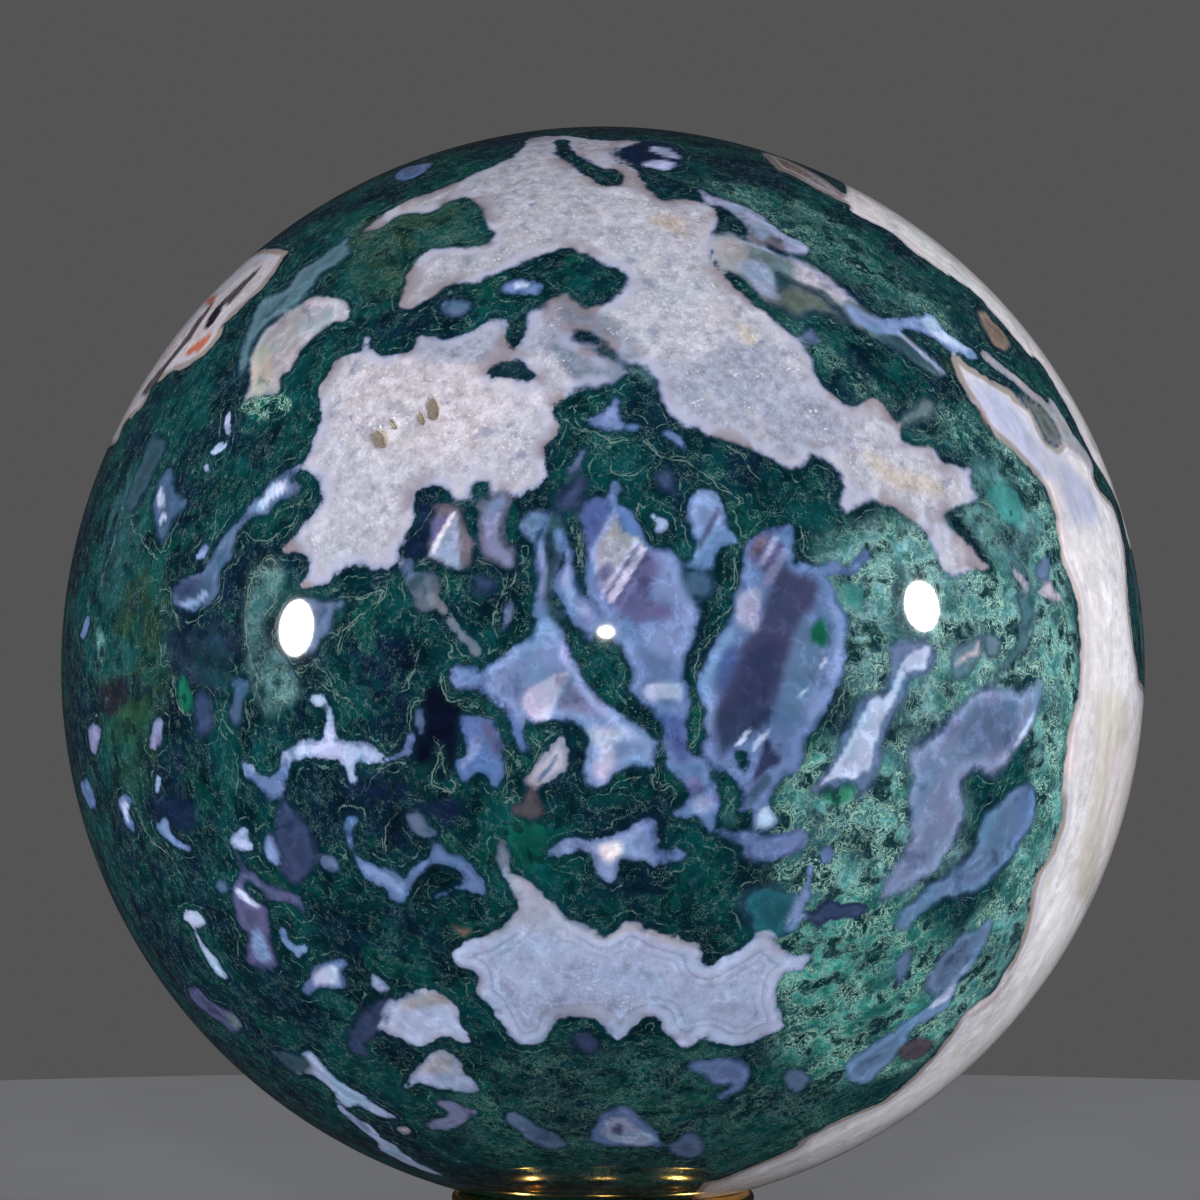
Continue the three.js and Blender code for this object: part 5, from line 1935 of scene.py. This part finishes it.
@dataclass
class AgateSphere:
    """The polished stone."""

    centre: np.ndarray
    radius: float
    steps: int = 128
    front_pull: float = 2.0
    cavity_fall: float = 1.6  # how steeply a cavity's side falls
    cavities: tuple[Cavity, ...] = (
        Cavity(-24.3, 22.9, 55, 2.4, 1.5, 1.0),
        Cavity(-23.0, 24.2, 48, 1.5, 0.5, 0.8),
        Cavity(-19.9, 25.0, 64, 1.6, 0.6, 0.8),
        Cavity(-18.7, 26.1, 72, 2.8, 1.1, 0.9),
    )

    def build(self, view: View) -> Piece:
        """Makes the ball, works out its pattern and gives it its finish.

        Args:
            view: the view that the outlines are drawn in.

        Returns:
            The piece.
        """
        directions, faces = ball_grid(self.steps)
        directions = drawn_to_front(directions, self.front_pull)
        pattern = Pattern(directions, view)
        copies = pattern.draw()
        LOG.info("laid %d patches in front and %d behind", len(PATTERN) + len(VEIN), copies)
        shares = np.stack([cavity.share_in(directions, pattern.radius_mm) for cavity in self.cavities])
        depths = np.array([cavity.depth for cavity in self.cavities])[:, None]
        sunk = (smooth(shares * self.cavity_fall) * depths).max(0) * MM
        points = self.centre + directions * (self.radius - sunk)[:, None]
        piece = make_mesh("moss_agate_sphere", points, faces.tolist())
        self.carry(piece, {**pattern.fields, "pit": np.clip(shares, 0, 1).max(0)})
        piece.data.materials.append(StoneFinish(self.centre).material())
        return piece

    def carry(self, piece: Piece, fields: dict[str, np.ndarray]) -> None:
        """Puts each field on the mesh's points, as a number or a colour.

        Args:
            piece: the mesh object.
            fields: a value or a row of four for each point, by the field's name.
        """
        for name, values in fields.items():
            kind, value = ("FLOAT_COLOR", "color") if values.ndim == 2 else ("FLOAT", "value")
            made = piece.data.attributes.new(name, kind, "POINT")
            made.data.foreach_set(value, values.astype(np.float32).ravel())


@dataclass
class RingStand:
    """The turned ring: a rounded lip with a conical seat, a waist and a flat foot. Millimetres."""

    stone_radius: float
    height: float = 8.0
    lip: float = 14.0
    waist: float = 12.7
    foot: float = 14.8
    bore: float = 10.9
    seat: float = 12.0
    bead: float = 0.75
    foot_thickness: float = 1.1
    foot_edge: float = 0.35
    bead_steps: int = 20
    edge_steps: int = 8
    cove_steps: int = 25
    seat_steps: int = 9
    wall_steps: int = 7
    under_steps: int = 6
    same_point: float = 1e-6
    sectors: int = 192

    def arc(self, r: float, z: float, radius: float, start: float, end: float, steps: int) -> np.ndarray:
        """Points of an arc about (r, z): r + radius cos a, z + radius sin a.

        Args:
            r, z: the arc's middle.
            radius: its radius.
            start, end: its angles, in degrees up from level.
            steps: how many stretches it has.

        Returns:
            Rows of radius and height.
        """
        angle = np.radians(np.linspace(start, end, steps + 1))
        return np.stack([r + radius * np.cos(angle), z + radius * np.sin(angle)], axis=1)

    def profile(self) -> np.ndarray:
        """The closed outline of the ring's section.

        The waist is a parabola: its radius is waist + (edge - waist) m^2, with m from -1 at the
        foot to 1 under the lip. The seat falls inwards at the stone's slope where it rests.

        Returns:
            Rows of radius and height.
        """
        slope = self.seat / math.sqrt(self.stone_radius**2 - self.seat**2)
        crest, inner = self.lip - self.bead, self.foot - self.foot_edge
        shoulder_z = self.foot_thickness - self.foot_edge
        rim = self.arc(inner, self.foot_edge, self.foot_edge, -90, 0, self.edge_steps)
        shoulder = self.arc(inner, shoulder_z, self.foot_edge, 0, 70, self.edge_steps)
        bead = self.arc(crest, self.height - self.bead, self.bead, -60, 90, self.bead_steps)
        (low_r, low_z), (high_r, high_z) = shoulder[-1], bead[0]
        m = np.linspace(-1, 1, self.cove_steps + 1)[1:-1]
        edge = np.where(m < 0, low_r, high_r)
        cove_r = self.waist + (edge - self.waist) * m**2
        cove = np.stack([cove_r, low_z + (high_z - low_z) * (m + 1) / 2], axis=1)
        seat_r = np.linspace(crest, self.bore, self.seat_steps + 1)[1:]
        seat = np.stack([seat_r, self.height - (crest - seat_r) * slope], axis=1)
        wall = np.linspace(seat[-1], (self.bore, 0), self.wall_steps + 1)[1:]
        under = np.linspace((self.bore, 0), (inner, 0), self.under_steps + 1)[1:-1]
        return np.concatenate([under, rim, shoulder, cove, bead, seat, wall])

    def build(self) -> Piece:
        """Turns the profile about +Z and gives the ring its plating.

        Returns:
            The piece.
        """
        section = self.profile()
        keep = np.linalg.norm(section - np.roll(section, 1, axis=0), axis=1) > self.same_point
        points, faces = turned(section[keep] * MM, self.sectors, closed=True)
        piece = make_mesh("gold_ring_stand", points, faces.tolist())
        piece.data.materials.append(GoldFinish().material())
        return piece


@dataclass(frozen=True)
class Lamp:
    """A soft lamp, hung where its mirror image in the stone falls on a point of the view."""

    name: str
    seen_at: tuple[float, float]
    distance: float
    width: float
    height: float
    power: float

    def hang(self, view: View) -> None:
        """Puts the lamp along the mirrored ray, facing the stone.

        Args:
            view: the view that it is seen from.
        """
        light = bpy.data.lights.new(self.name, "AREA")
        light.shape = "ELLIPSE"
        light.size, light.size_y = self.width, self.height
        light.energy = self.power
        place, way = view.mirrored(self.seen_at)
        lamp = placed(self.name, light)
        lamp.location = Vector(place + way * self.distance)
        lamp.rotation_euler = Vector(way).to_track_quat("Z", "Y").to_euler()


@dataclass
class Studio:
    """Camera, lamps, backdrop and tabletop."""

    view: View
    sensor_mm: float = 36.0
    clip: tuple[float, float] = (0.01, 20.0)
    floor_radius: float = 0.236
    floor_middle: float = 0.004
    floor_sectors: int = 128
    floor_rings: int = 12
    seen: Colour = linear(84, 84, 84)
    fill: Colour = (0.26, 0.262, 0.272, 1.0)
    reflected: Colour = (0.015, 0.016, 0.02, 1.0)
    lamps: tuple[Lamp, ...] = (
        Lamp("left_lamp", (296, 628), 1.2, 0.170, 0.200, 11.0),
        Lamp("right_lamp", (922, 606), 1.2, 0.175, 0.175, 11.0),
        Lamp("front_lamp", (606, 632), 0.5, 0.025, 0.014, 0.55),
    )

    def camera(self) -> None:
        """Puts up the camera, level with the stone's centre and looking a little above it."""
        lens = bpy.data.cameras.new("camera")
        lens.sensor_width = self.sensor_mm
        lens.lens = self.view.focal_px / self.view.frame_px * self.sensor_mm
        lens.clip_start, lens.clip_end = self.clip
        camera = placed("camera", lens)
        camera.location = Vector(self.view.camera)
        forward = Vector(self.view.aim - self.view.camera)
        camera.rotation_euler = forward.to_track_quat("-Z", "Y").to_euler()
        bpy.context.scene.camera = camera

    def backdrop(self) -> None:
        """A plain grey room, with its own grey to be seen, to light the object and to shine in it."""
        world = bpy.data.worlds.new("studio")
        bpy.context.scene.world = world
        world.use_nodes = True
        nodes, links = world.node_tree.nodes, world.node_tree.links
        nodes.clear()
        output = nodes.new("ShaderNodeOutputWorld")
        path = nodes.new("ShaderNodeLightPath")
        seen, light, gloss = (nodes.new("ShaderNodeBackground") for _ in range(3))
        for background, grey in ((seen, self.seen), (light, self.fill), (gloss, self.reflected)):
            background.inputs["Color"].default_value = grey
        lit, choice = nodes.new("ShaderNodeMixShader"), nodes.new("ShaderNodeMixShader")
        for mixed, ray, first, second in ((lit, "Glossy", light, gloss), (choice, "Camera", lit, seen)):
            links.new(path.outputs[f"Is {ray} Ray"], mixed.inputs[0])
            links.new(first.outputs[0], mixed.inputs[1])
            links.new(second.outputs[0], mixed.inputs[2])
        links.new(choice.outputs[0], output.inputs["Surface"])

    def floor(self) -> Piece:
        """A round tabletop: rings of points at height 0, from its edge in, closed at the middle.

        Returns:
            The tabletop.
        """
        radii = np.linspace(self.floor_radius, self.floor_middle, self.floor_rings)
        rings = np.stack([radii, np.zeros(self.floor_rings)], axis=1)
        points, faces = turned(rings, self.floor_sectors, closed=False)
        middle = np.arange(1, self.floor_sectors + 1) * self.floor_rings - 1
        floor = make_mesh("tabletop", points, [*faces.tolist(), middle.tolist()])
        floor.data.materials.append(FloorFinish().material())
        floor.visible_glossy = False
        return floor

    def set_up(self) -> None:
        """Puts up the camera, lamps, backdrop and tabletop."""
        bpy.context.scene.view_settings.view_transform = "Standard"
        self.camera()
        self.backdrop()
        for lamp in self.lamps:
            lamp.hang(self.view)
        self.floor()


def main() -> None:
    """Builds the studio and the two pieces in order, and reports each."""
    logging.basicConfig(level=logging.INFO, format="%(name)s: %(message)s")
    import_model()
    low, high = (np.array(corner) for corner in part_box("agate_sphere"))
    centre, radius = (low + high) / 2, float((high - low)[0] / 2)
    view = View(centre, radius)
    Studio(view).set_up()
    LOG.info("studio set up")
    stone = AgateSphere(centre, radius).build(view)
    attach(stone, "root")
    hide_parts("agate_sphere")
    LOG.info("stone: %d points", len(stone.data.vertices))
    ring = RingStand(radius / MM).build()
    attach(ring, "root")
    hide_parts("stand_ring")
    LOG.info("ring stand: %d points", len(ring.data.vertices))


if __name__ == "__main__":
    main()
